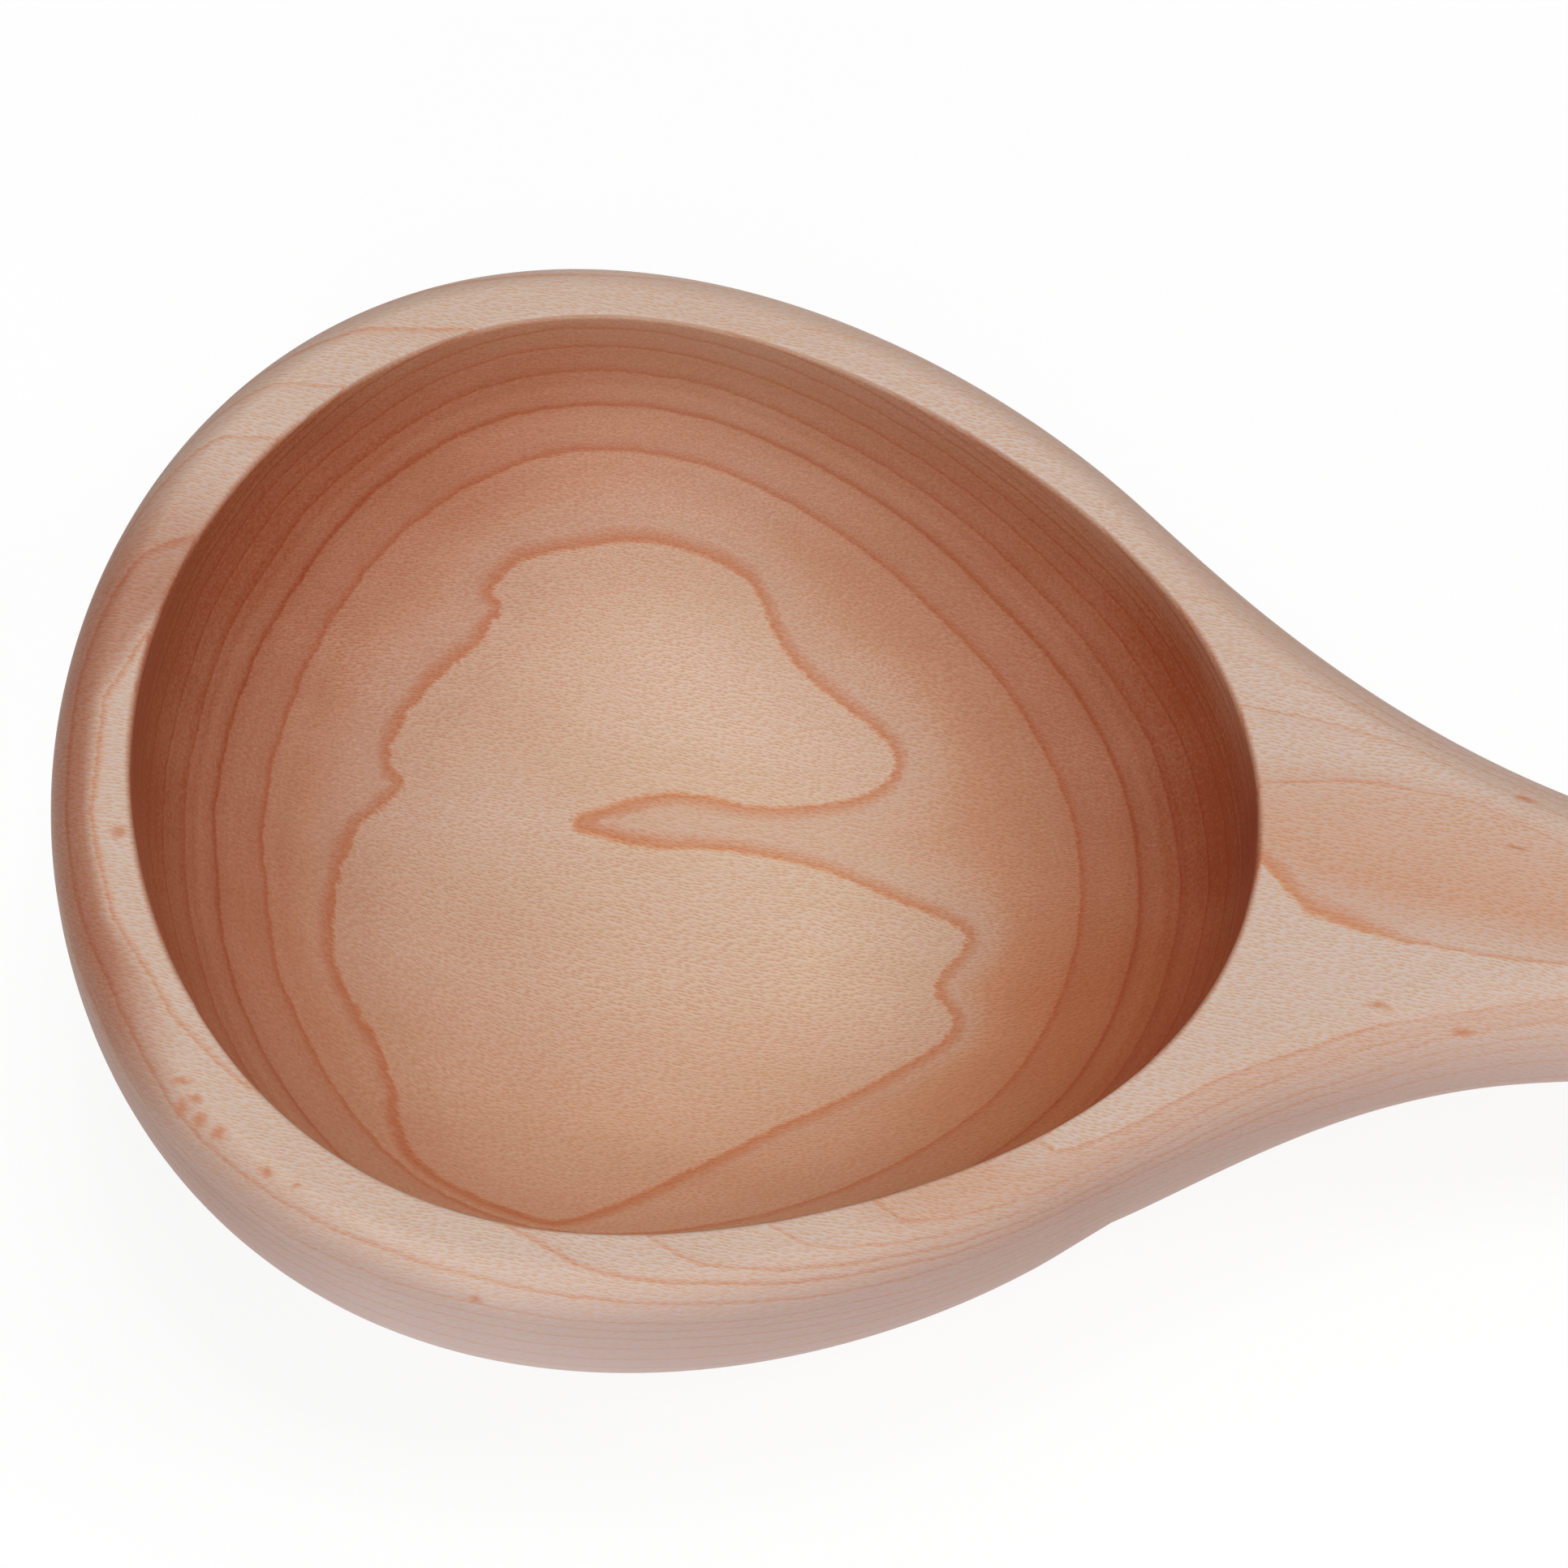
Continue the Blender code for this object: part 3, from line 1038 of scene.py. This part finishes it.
    @staticmethod
    def surface_slope(mesh: bpy.types.Mesh, surface: Surface, ring: np.ndarray) -> np.ndarray:
        """How the ring changes along the surface, in rings to a millimetre.

        Args:
            mesh: The mesh, for its edges.
            surface: Its vertices.
            ring: The ring of each.

        Returns:
            The slope at each vertex.
        """
        places, normals = surface.places, surface.normals
        edges = np.empty(len(mesh.edges) * 2, int)
        mesh.edges.foreach_get("vertices", edges)
        first, second = edges.reshape(-1, 2).T
        step = places[second] - places[first]
        spread = normals[:, :, None] * normals[:, None, :]
        pull = np.zeros_like(places)
        for end in (first, second):
            np.add.at(spread, end, step[:, :, None] * step[:, None, :])
            np.add.at(pull, end, step * (ring[second] - ring[first])[:, None])
        return np.linalg.solve(spread, pull[:, :, None])[:, :, 0]


@dataclass(frozen=True)
class Mark:
    """A small knot, pin mark or torn spot in the wood, in millimetres."""

    x: float
    y: float
    depth: float
    length: float
    width: float


@dataclass(frozen=True)
class OiledMaple:
    """Hard maple, carved, sanded and rubbed with oil.

    The eye sees a pale pinkish tan with a soft low sheen. Short brown dashes along the grain, the ends of
    the wood's rays, cover it closely. Reddish lines end each year's growth, with a pinker band before
    them. Where the hollow cuts across the grain the oil soaks in and makes the wood a deep orange brown.
    """

    pale: str = "F1DDC9"
    tan: str = "E8CDB1"
    pink: str = "DFBDA8"
    # Grey pink laid over the outside: partly wood that took up little oil, partly a painted sheen.
    bare_and_sheen: str = "CDB3B0"
    dash: str = "D79C66"
    line: str = "F7C99C"
    line_dash: str = "DA8948"
    warm: str = "F1BD92"
    soak: str = "AF6B43"
    mark: str = "C8743E"
    tan_share: float = 0.6
    pink_share: float = 0.6
    bare_and_sheen_share: float = 0.8
    dash_share: float = 0.65
    line_share: float = 0.9
    mark_share: float = 0.7

    roughness: float = 0.55
    dash_roughness: float = 0.08
    ior: float = 1.5
    bump_strength: float = 0.5
    bump_mm: float = 0.1
    dash_bump: float = 0.2
    mark_bump: float = 0.4

    # The rays' ends are drawn at their real size, so they show singly only close up. A size is in
    # millimetres, and a pattern's scale is how many of its waves lie in a millimetre.
    dash_length_mm: float = 0.54
    dash_width_mm: float = 0.145
    dash_pitch_mm: tuple[float, float] = (0.46, 0.235)
    dash_stagger: float = 0.5
    dash_chance: float = 0.7
    dash_soft: Ramp = (0.2, 1.6)
    dash_least: float = 0.5
    dash_spread: float = 0.6
    dash_seen: Ramp = (-1.0, 0.8)
    grain_tilt: float = 0.07
    drift_mm: float = 2.0
    drift_per_mm: float = 0.10

    line_width_mm: tuple[float, float] = (0.20, 1.15)
    line_behind: tuple[float, float] = (0.06, 0.3)
    line_strength: tuple[float, float] = (0.2, 0.75)
    line_boldness: float = 3.0
    line_steady: tuple[float, float] = (0.15, 0.85)
    ragged_per_mm: float = 0.45
    ragged_roughness: float = 0.6
    wobble_mm: float = 0.5
    ragged_mm: float = 1.4
    ragged_dash_mm: float = 0.4
    band: Ramp = (0.6, 0.95)

    cloud_per_mm: tuple[float, float, float] = (0.03, 0.12, 0.12)
    cloud_range: Ramp = (0.35, 0.65)
    streaks_per_ring: float = 2.5
    pores_per_mm: float = 4.0
    soak_least: float = 0.57
    soak_cloud: float = 0.2
    soak_streak: float = 0.24
    soak_line: float = 0.15
    soak_pores: float = 0.4
    edge_width_mm: float = 0.6
    edge_soak: float = 0.6

    mark_soft: Ramp = (0.1, 1.5)
    tears_per_mm: float = 1.4
    tear_mm: float = 0.6
    marks: tuple[Mark, ...] = (
        Mark(-30.2, -29.7, 0.1, 1.6, 0.6), Mark(-29.2, -30.9, 0.1, 1.2, 0.7),
        Mark(-30.0, -31.5, 0.5, 1.0, 1.1), Mark(-28.7, -32.3, 0.3, 1.2, 1.2),
        Mark(-27.3, -33.1, 0.2, 1.2, 1.2), Mark(-23.7, -35.5, 0.2, 1.0, 0.8),
        Mark(-21.7, -36.2, 0.1, 0.9, 0.4), Mark(-9.3, -41.6, 1.7, 1.1, 0.7),
        Mark(-37.4, -11.6, 0.0, 1.3, 1.1), Mark(47.1, -10.5, 0.1, 2.0, 0.6),
        Mark(52.9, -10.9, 1.15, 2.6, 0.6), Mark(55.8, 7.7, 0.2, 2.2, 0.5),
        Mark(55.5, 3.6, 0.0, 1.8, 0.4))

    def material(self, shape: SpoonShape) -> bpy.types.Material:
        """Make the material.

        Args:
            shape: The spoon's sizes, which place the marks.

        Returns:
            The new material.
        """
        material = bpy.data.materials.new("oiled hard maple")
        material.use_nodes = True
        tree = material.node_tree
        tree.nodes.clear()
        coords = add_node(tree, "ShaderNodeTexCoord").outputs["Object"]
        in_mm = add_node(tree, "ShaderNodeVectorMath", {"operation": "SCALE"},
                         {0: coords, "Scale": 1 / MM}).outputs[0]
        dashes, chance = self.dashes(tree, in_mm)
        line, band = self.rings(tree, in_mm, chance)
        colour = self.colour(tree, in_mm, line, band, dashes)
        colour, torn = self.marked(tree, in_mm, colour, shape)
        rough = self.sum_of(tree, ((dashes, self.dash_roughness),), self.roughness)
        height = self.sum_of(tree, ((dashes, self.dash_bump), (torn, self.mark_bump)), 0.0)
        bump = add_node(tree, "ShaderNodeBump", {"invert": True},
                        {"Strength": self.bump_strength, "Distance": self.bump_mm * MM, "Height": height})
        shader = add_node(tree, "ShaderNodeBsdfPrincipled", None,
                          {"Base Color": colour, "Roughness": rough, "IOR": self.ior,
                           "Normal": bump.outputs[0]})
        add_node(tree, "ShaderNodeOutputMaterial", None, {"Surface": shader.outputs[0]})
        return material

    def dashes(self, tree: bpy.types.NodeTree,
               in_mm: bpy.types.NodeSocket) -> tuple[bpy.types.NodeSocket, bpy.types.NodeSocket]:
        """Draw short dashes along the grain, one to a cell.

        Args:
            tree: The node tree to add to.
            in_mm: Places in millimetres.

        Returns:
            How strongly a place lies in a dash, and a number from 0 to 1 that is the dash's own.
        """
        pitch, rows = self.dash_pitch_mm
        along, aside, flat = (
            add_node(tree, "ShaderNodeAttribute", {"attribute_name": name}).outputs["Fac"]
            for name in ("along", "aside", "flat"))
        drift = add_node(tree, "ShaderNodeTexNoise", None,
                         {"Vector": in_mm, "Scale": self.drift_per_mm, **SOFT}).outputs["Fac"]
        row = self.sum_of(tree, ((aside, 1 / rows), (along, self.grain_tilt / rows),
                                 (drift, self.drift_mm / rows)), 0.0)
        place = self.sum_of(tree, ((along, 1 / pitch), (row, self.dash_stagger)), 0.0)
        cells = add_node(tree, "ShaderNodeCombineXYZ", None, {0: place, 1: row}).outputs[0]
        rays = add_node(tree, "ShaderNodeTexVoronoi", {"voronoi_dimensions": "2D", "feature": "F1"},
                        {"Vector": cells, "Scale": 1.0, "Randomness": self.dash_chance}).outputs
        offset = add_node(tree, "ShaderNodeVectorMath", {"operation": "SUBTRACT"},
                          {0: cells, 1: rays["Position"]}).outputs[0]
        half_length = self.dash_length_mm / 2 / pitch
        half_width = self.dash_width_mm / 2 / rows
        axes = ((1 / half_length, -self.dash_stagger / half_length, 0.0), (0.0, 1 / half_width, 0.0))
        lengthwise, crosswise = (
            add_node(tree, "ShaderNodeVectorMath", {"operation": "DOT_PRODUCT"},
                     {0: offset, 1: axis}).outputs["Value"] for axis in axes)
        scaled = add_node(tree, "ShaderNodeCombineXYZ", None, {0: lengthwise, 1: crosswise}).outputs[0]
        reach = add_node(tree, "ShaderNodeVectorMath", {"operation": "LENGTH"}, {0: scaled}).outputs["Value"]
        drawn = add_node(tree, "ShaderNodeMapRange", SMOOTH,
                         {"Value": reach, "From Min": self.dash_soft[0], "From Max": self.dash_soft[1],
                          **FALLING}).outputs[0]
        chances = add_node(tree, "ShaderNodeSeparateColor", None, {0: rays["Color"]}).outputs
        seen = add_node(tree, "ShaderNodeMapRange", None,
                        {"Value": flat, "From Min": self.dash_seen[0],
                         "From Max": self.dash_seen[1]}).outputs[0]
        strength = self.sum_of(tree, ((chances[1], self.dash_spread),), self.dash_least)
        seen = add_node(tree, "ShaderNodeMath", MULTIPLY, {0: seen, 1: strength}).outputs[0]
        return add_node(tree, "ShaderNodeMath", MULTIPLY, {0: drawn, 1: seen}).outputs[0], chances[0]

    def rings(self, tree: bpy.types.NodeTree, in_mm: bpy.types.NodeSocket,
              chance: bpy.types.NodeSocket) -> tuple[bpy.types.NodeSocket, bpy.types.NodeSocket]:
        """Draw the rings from the numbers that the figure stored.

        Args:
            tree: The node tree to add to.
            in_mm: Places in millimetres.
            chance: A number for each dash, which moves the line by whole dashes.

        Returns:
            How strongly a place lies on a reddish line, and in the pinker band before one.
        """
        ring, rate, climb, strength = (
            add_node(tree, "ShaderNodeAttribute", {"attribute_name": name}).outputs["Fac"]
            for name in ("ring", "rate", "climb", "line"))
        ragged = add_node(tree, "ShaderNodeTexNoise", None,
                          {"Vector": in_mm, "Scale": self.ragged_per_mm, "Roughness": self.ragged_roughness,
                           **ROUGH}).outputs["Fac"]
        wobble = self.sum_of(tree, ((ragged, self.wobble_mm),), -self.wobble_mm / 2)
        bold = add_node(tree, "ShaderNodeMath", {"operation": "POWER"},
                        {0: strength, 1: self.line_boldness}).outputs[0]
        steady = add_node(tree, "ShaderNodeMath", {"operation": "MULTIPLY_ADD", "use_clamp": True},
                          {0: bold, 1: self.line_steady[1], 2: self.line_steady[0]}).outputs[0]
        middle = (self.ragged_mm + self.ragged_dash_mm) / 2
        moved = self.sum_of(tree, ((ragged, self.ragged_mm), (chance, self.ragged_dash_mm)), -middle)
        moved = add_node(tree, "ShaderNodeMath", MULTIPLY, {0: moved, 1: steady}).outputs[0]
        level = self.sum_of(tree, ((wobble, rate), (moved, climb)), ring)
        after = add_node(tree, "ShaderNodeMath", {"operation": "FRACT"}, {0: level}).outputs[0]
        to_go = add_node(tree, "ShaderNodeMath", {"operation": "SUBTRACT"}, {0: 1.0, 1: after}).outputs[0]
        to_go, gone = (
            add_node(tree, "ShaderNodeMath", {"operation": "DIVIDE"}, {0: part, 1: rate}).outputs[0]
            for part in (to_go, after))
        thin, thick = self.line_width_mm
        width = self.sum_of(tree, ((bold, thick - thin),), thin)
        before = add_node(tree, "ShaderNodeMapRange", None,
                          {"Value": to_go, "From Max": width, **FALLING}).outputs[0]
        behind = self.sum_of(tree, ((width, self.line_behind[1]),), self.line_behind[0])
        past = add_node(tree, "ShaderNodeMapRange", SMOOTH,
                        {"Value": gone, "From Max": behind, **FALLING}).outputs[0]
        line = add_node(tree, "ShaderNodeMath", {"operation": "MAXIMUM"}, {0: before, 1: past}).outputs[0]
        shown = self.sum_of(tree, ((strength, self.line_strength[1]),), self.line_strength[0])
        line = add_node(tree, "ShaderNodeMath", {"operation": "MULTIPLY", "use_clamp": True},
                        {0: line, 1: shown}).outputs[0]
        band = add_node(tree, "ShaderNodeMapRange", SMOOTH,
                        {"Value": after, "From Min": self.band[0], "From Max": self.band[1]}).outputs[0]
        return line, add_node(tree, "ShaderNodeMath", MULTIPLY, {0: band, 1: strength}).outputs[0]

    @staticmethod
    def sum_of(tree: bpy.types.NodeTree, parts: tuple[tuple[bpy.types.NodeSocket, Any], ...],
               start: Any) -> bpy.types.NodeSocket:
        """Add up values, each multiplied by a number or another value, from a start.

        Args:
            tree: The node tree to add to.
            parts: Values and what each is multiplied by.
            start: A number or a value to start from.

        Returns:
            The sum.
        """
        total = start
        for value, share in parts:
            total = add_node(tree, "ShaderNodeMath", {"operation": "MULTIPLY_ADD"},
                             {0: value, 1: share, 2: total}).outputs[0]
        return total

    def colour(self, tree: bpy.types.NodeTree, in_mm: bpy.types.NodeSocket, line: bpy.types.NodeSocket,
               band: bpy.types.NodeSocket, dashes: bpy.types.NodeSocket) -> bpy.types.NodeSocket:
        """Lay the wood's colours over each other.

        Args:
            tree: The node tree to add to.
            in_mm: Places in millimetres.
            line: Reddish lines that end the rings.
            band: Pinker bands before the lines.
            dashes: Dashes along the grain.

        Returns:
            The colour.
        """
        soak, edge, bare_and_sheen, warm, ring = (
            add_node(tree, "ShaderNodeAttribute", {"attribute_name": name}).outputs["Fac"]
            for name in ("soak", "edge", "bare_and_sheen", "warm", "ring"))
        streaked = add_node(tree, "ShaderNodeVectorMath", MULTIPLY,
                            {0: in_mm, 1: self.cloud_per_mm}).outputs[0]
        cloud = add_node(tree, "ShaderNodeTexNoise", None,
                         {"Vector": streaked, "Scale": 1.0, **ROUGH}).outputs["Fac"]
        tan = add_node(tree, "ShaderNodeMapRange", None,
                       {"Value": cloud, "From Min": self.cloud_range[0],
                        "From Max": self.cloud_range[1]}).outputs[0]
        edge = add_node(tree, "ShaderNodeMapRange", SMOOTH,
                        {"Value": edge, "From Max": self.edge_width_mm, "To Min": self.edge_soak,
                         "To Max": 0.0}).outputs[0]
        soak, warm = (
            add_node(tree, "ShaderNodeMath", {"operation": "MAXIMUM"}, {0: part, 1: edge}).outputs[0]
            for part in (soak, warm))
        dash = add_node(tree, "ShaderNodeMix", {"data_type": "RGBA"},
                        {0: line, 6: linear(self.dash), 7: linear(self.line_dash)}).outputs[2]
        streak = add_node(tree, "ShaderNodeTexNoise", {"noise_dimensions": "1D"},
                          {"W": ring, "Scale": self.streaks_per_ring, **UNEVEN}).outputs["Fac"]
        pores = add_node(tree, "ShaderNodeTexNoise", None,
                         {"Vector": in_mm, "Scale": self.pores_per_mm, **SOFT}).outputs["Fac"]
        uneven = self.sum_of(tree, ((cloud, self.soak_cloud), (streak, self.soak_streak),
                                    (line, self.soak_line), (pores, self.soak_pores)), self.soak_least)
        mottled = add_node(tree, "ShaderNodeMath", MULTIPLY, {0: soak, 1: uneven}).outputs[0]
        layers = ((tan, linear(self.tan), Blend.COVER, self.tan_share),
                  (band, linear(self.pink), Blend.COVER, self.pink_share),
                  (bare_and_sheen, linear(self.bare_and_sheen), Blend.COVER, self.bare_and_sheen_share),
                  (dashes, dash, Blend.COVER, self.dash_share),
                  (line, linear(self.line), Blend.STAIN, self.line_share),
                  (warm, linear(self.warm), Blend.STAIN, 1.0),
                  (mottled, linear(self.soak), Blend.STAIN, 1.0))
        colour: Any = linear(self.pale)
        for weight, layer, blend, most in layers:
            part = add_node(tree, "ShaderNodeMath", MULTIPLY, {0: weight, 1: most}).outputs[0]
            colour = add_node(tree, "ShaderNodeMix", {"data_type": "RGBA", "blend_type": blend.value},
                              {0: part, 6: colour, 7: layer}).outputs[2]
        return colour

    def marked(self, tree: bpy.types.NodeTree, in_mm: bpy.types.NodeSocket, colour: bpy.types.NodeSocket,
               shape: SpoonShape) -> tuple[bpy.types.NodeSocket, bpy.types.NodeSocket]:
        """Add the few small marks to the colour.

        Args:
            tree: The node tree to add to.
            in_mm: Places in millimetres.
            colour: The wood's colour without them.
            shape: The spoon's sizes.

        Returns:
            The colour with them, and how strongly a place lies in one.
        """
        ragged = add_node(tree, "ShaderNodeTexNoise", None,
                          {"Vector": in_mm, "Scale": self.tears_per_mm, **UNEVEN}).outputs["Color"]
        tear = Vector((self.tear_mm, self.tear_mm, 0.0))
        torn = add_node(tree, "ShaderNodeVectorMath", {"operation": "MULTIPLY_ADD"},
                        {0: ragged, 1: tear, 2: in_mm}).outputs[0]
        within: Any = 0.0
        for mark in self.marks:
            place = shape.raised(Vector((mark.x, mark.y)) * MM, mark.depth * MM) / MM + tear / 2
            offset = add_node(tree, "ShaderNodeVectorMath", {"operation": "SUBTRACT"},
                              {0: torn, 1: place}).outputs[0]
            half = (mark.length / 2, mark.width / 2, mark.width / 2)
            scaled = add_node(tree, "ShaderNodeVectorMath", {"operation": "DIVIDE"},
                              {0: offset, 1: half}).outputs[0]
            reach = add_node(tree, "ShaderNodeVectorMath", {"operation": "LENGTH"},
                             {0: scaled}).outputs["Value"]
            weight = add_node(tree, "ShaderNodeMapRange", SMOOTH,
                              {"Value": reach, "From Min": self.mark_soft[0], "From Max": self.mark_soft[1],
                               "To Min": self.mark_share, "To Max": 0.0}).outputs[0]
            within = add_node(tree, "ShaderNodeMath", {"operation": "MAXIMUM"},
                              {0: weight, 1: within}).outputs[0]
        return add_node(tree, "ShaderNodeMix", {"data_type": "RGBA"},
                        {0: within, 6: colour, 7: linear(self.mark)}).outputs[2], within


@dataclass(frozen=True)
class Lamp:
    """A soft square studio lamp aimed at the bowl. Its place and size are in metres, its power in watts."""

    name: str
    place: tuple[float, float, float]
    size: float
    power: float

    def hang(self, target: Vector) -> None:
        """Add the lamp to the scene.

        Args:
            target: Where the lamp points.
        """
        light = bpy.data.lights.new(self.name, "AREA")
        light.shape = "SQUARE"
        light.size = self.size
        light.energy = self.power
        lamp = bpy.data.objects.new(self.name, light)
        lamp.location = self.place
        lamp.rotation_euler = (target - lamp.location).to_track_quat("-Z", "Y").to_euler()
        bpy.context.scene.collection.objects.link(lamp)


def seen_by_camera(tree: bpy.types.NodeTree) -> bpy.types.NodeSocket:
    """1 where the camera sees a surface straight, in a gloss or through glass, and 0 elsewhere.

    Args:
        tree: The node tree to add to.

    Returns:
        The number.
    """
    path = add_node(tree, "ShaderNodeLightPath").outputs
    seen = path["Is Camera Ray"]
    for ray in ("Is Glossy Ray", "Is Transmission Ray"):
        seen = add_node(tree, "ShaderNodeMath", {"operation": "MAXIMUM"}, {0: seen, 1: path[ray]}).outputs[0]
    return seen


@dataclass(frozen=True)
class WhitePaper:
    """Matt studio paper. It bounces light like paper and looks white, with a faint shadow left on it."""

    white: str = "F7F7F7"
    glow_share: float = 0.85
    glow: float = 1.05

    def material(self) -> bpy.types.Material:
        """Make the material.

        Returns:
            The new material.
        """
        material = bpy.data.materials.new("white paper")
        material.use_nodes = True
        tree = material.node_tree
        tree.nodes.clear()
        paper = add_node(tree, "ShaderNodeBsdfDiffuse", None, {"Color": linear(self.white)}).outputs[0]
        glow = add_node(tree, "ShaderNodeEmission", None, {"Strength": self.glow}).outputs[0]
        share = add_node(tree, "ShaderNodeMath", MULTIPLY,
                         {0: seen_by_camera(tree), 1: self.glow_share}).outputs[0]
        surface = add_node(tree, "ShaderNodeMixShader", None, {0: share, 1: paper, 2: glow}).outputs[0]
        add_node(tree, "ShaderNodeOutputMaterial", None, {"Surface": surface})
        return material


@dataclass
class Studio:
    """White floor, soft lamps and even light all round."""

    floor_half: float = 3.0
    ambient: float = 0.03
    sky: str = "FFFFFF"
    lamps: list[Lamp] = field(default_factory=lambda: [
        Lamp("overhead softbox", (0.0, 0.0, 1.2), 0.45, 4.4),
        Lamp("high front softbox", (0.0, -0.7, 1.0), 0.45, 2.3),
        Lamp("back softbox", (0.0, 0.62, 1.08), 0.45, 2.0),
        Lamp("low front fill", (0.0, -1.1, 0.4), 0.45, 3.7),
        Lamp("right fill", (0.9, 0.0, 0.9), 0.45, 2.6)])

    def build(self, target: Vector) -> None:
        """Lay the floor, hang the lamps and light the room.

        Args:
            target: Where the lamps point.
        """
        self.lay_floor()
        for lamp in self.lamps:
            lamp.hang(target)
        world = bpy.data.worlds.new("white room")
        bpy.context.scene.world = world
        world.use_nodes = True
        tree = world.node_tree
        tree.nodes.clear()
        strength = add_node(tree, "ShaderNodeMix", {"data_type": "FLOAT"},
                            {0: seen_by_camera(tree), 2: self.ambient, 3: 1.0}).outputs[0]
        sky = add_node(tree, "ShaderNodeBackground", None, {"Color": linear(self.sky), "Strength": strength})
        add_node(tree, "ShaderNodeOutputWorld", None, {"Surface": sky.outputs[0]})

    def lay_floor(self) -> None:
        """Lay a square of white paper under the spoon."""
        bm = bmesh.new()
        bmesh.ops.create_grid(bm, x_segments=1, y_segments=1, size=self.floor_half)
        mesh = bpy.data.meshes.new("floor")
        bm.to_mesh(mesh)
        bm.free()
        mesh.materials.append(WhitePaper().material())
        floor = bpy.data.objects.new("floor", mesh)
        bpy.context.scene.collection.objects.link(floor)


@dataclass(frozen=True)
class PhotoCamera:
    """Camera that sees the spoon as the photograph does: high over the near side, with a long lens."""

    azimuth: float = radians(-83.44)
    elevation: float = radians(57.0)
    distance: float = 0.5
    aim: tuple[float, float] = (0.00586, -0.00037)
    roll: float = radians(1.735)
    lens: float = 170.2
    sensor: float = 36.0
    clip_start: float = 0.01

    def place(self, rim_height: float) -> None:
        """Set the camera up over the middle of the bowl's rim.

        Args:
            rim_height: Height of the rim over the table.
        """
        data = bpy.data.cameras.new("camera")
        data.sensor_width = self.sensor
        data.lens = self.lens
        data.clip_start = self.clip_start
        camera = bpy.data.objects.new("camera", data)
        bpy.context.scene.collection.objects.link(camera)
        level = cos(self.elevation)
        outward = Vector((cos(self.azimuth) * level, sin(self.azimuth) * level, sin(self.elevation)))
        eye = Vector((0.0, 0.0, rim_height)) + outward * self.distance
        look = Vector((*self.aim, rim_height)) - eye
        turn = look.to_track_quat("-Z", "Y").to_matrix() @ Matrix.Rotation(self.roll, 3, "Z")
        camera.matrix_world = Matrix.Translation(eye) @ turn.to_4x4()
        bpy.context.scene.camera = camera


def main() -> None:
    """Build the spoon, its wood, the studio and the camera."""
    logging.basicConfig(level=logging.INFO, format="%(message)s")
    bpy.context.scene.view_settings.view_transform = "Standard"
    shape = SpoonShape()
    spoon = SpoonSkin(shape)
    skin = spoon.build()
    spoon.dress(skin, MapleFigure(), OiledMaple())
    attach(skin, "root")
    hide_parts("spoon")
    LOG.info("carved_spoon: %d vertices", len(skin.data.vertices))
    Studio().build(Vector((0.0, 0.0, shape.rim_height)))
    PhotoCamera().place(shape.rim_height)


if __name__ == "__main__":
    main()
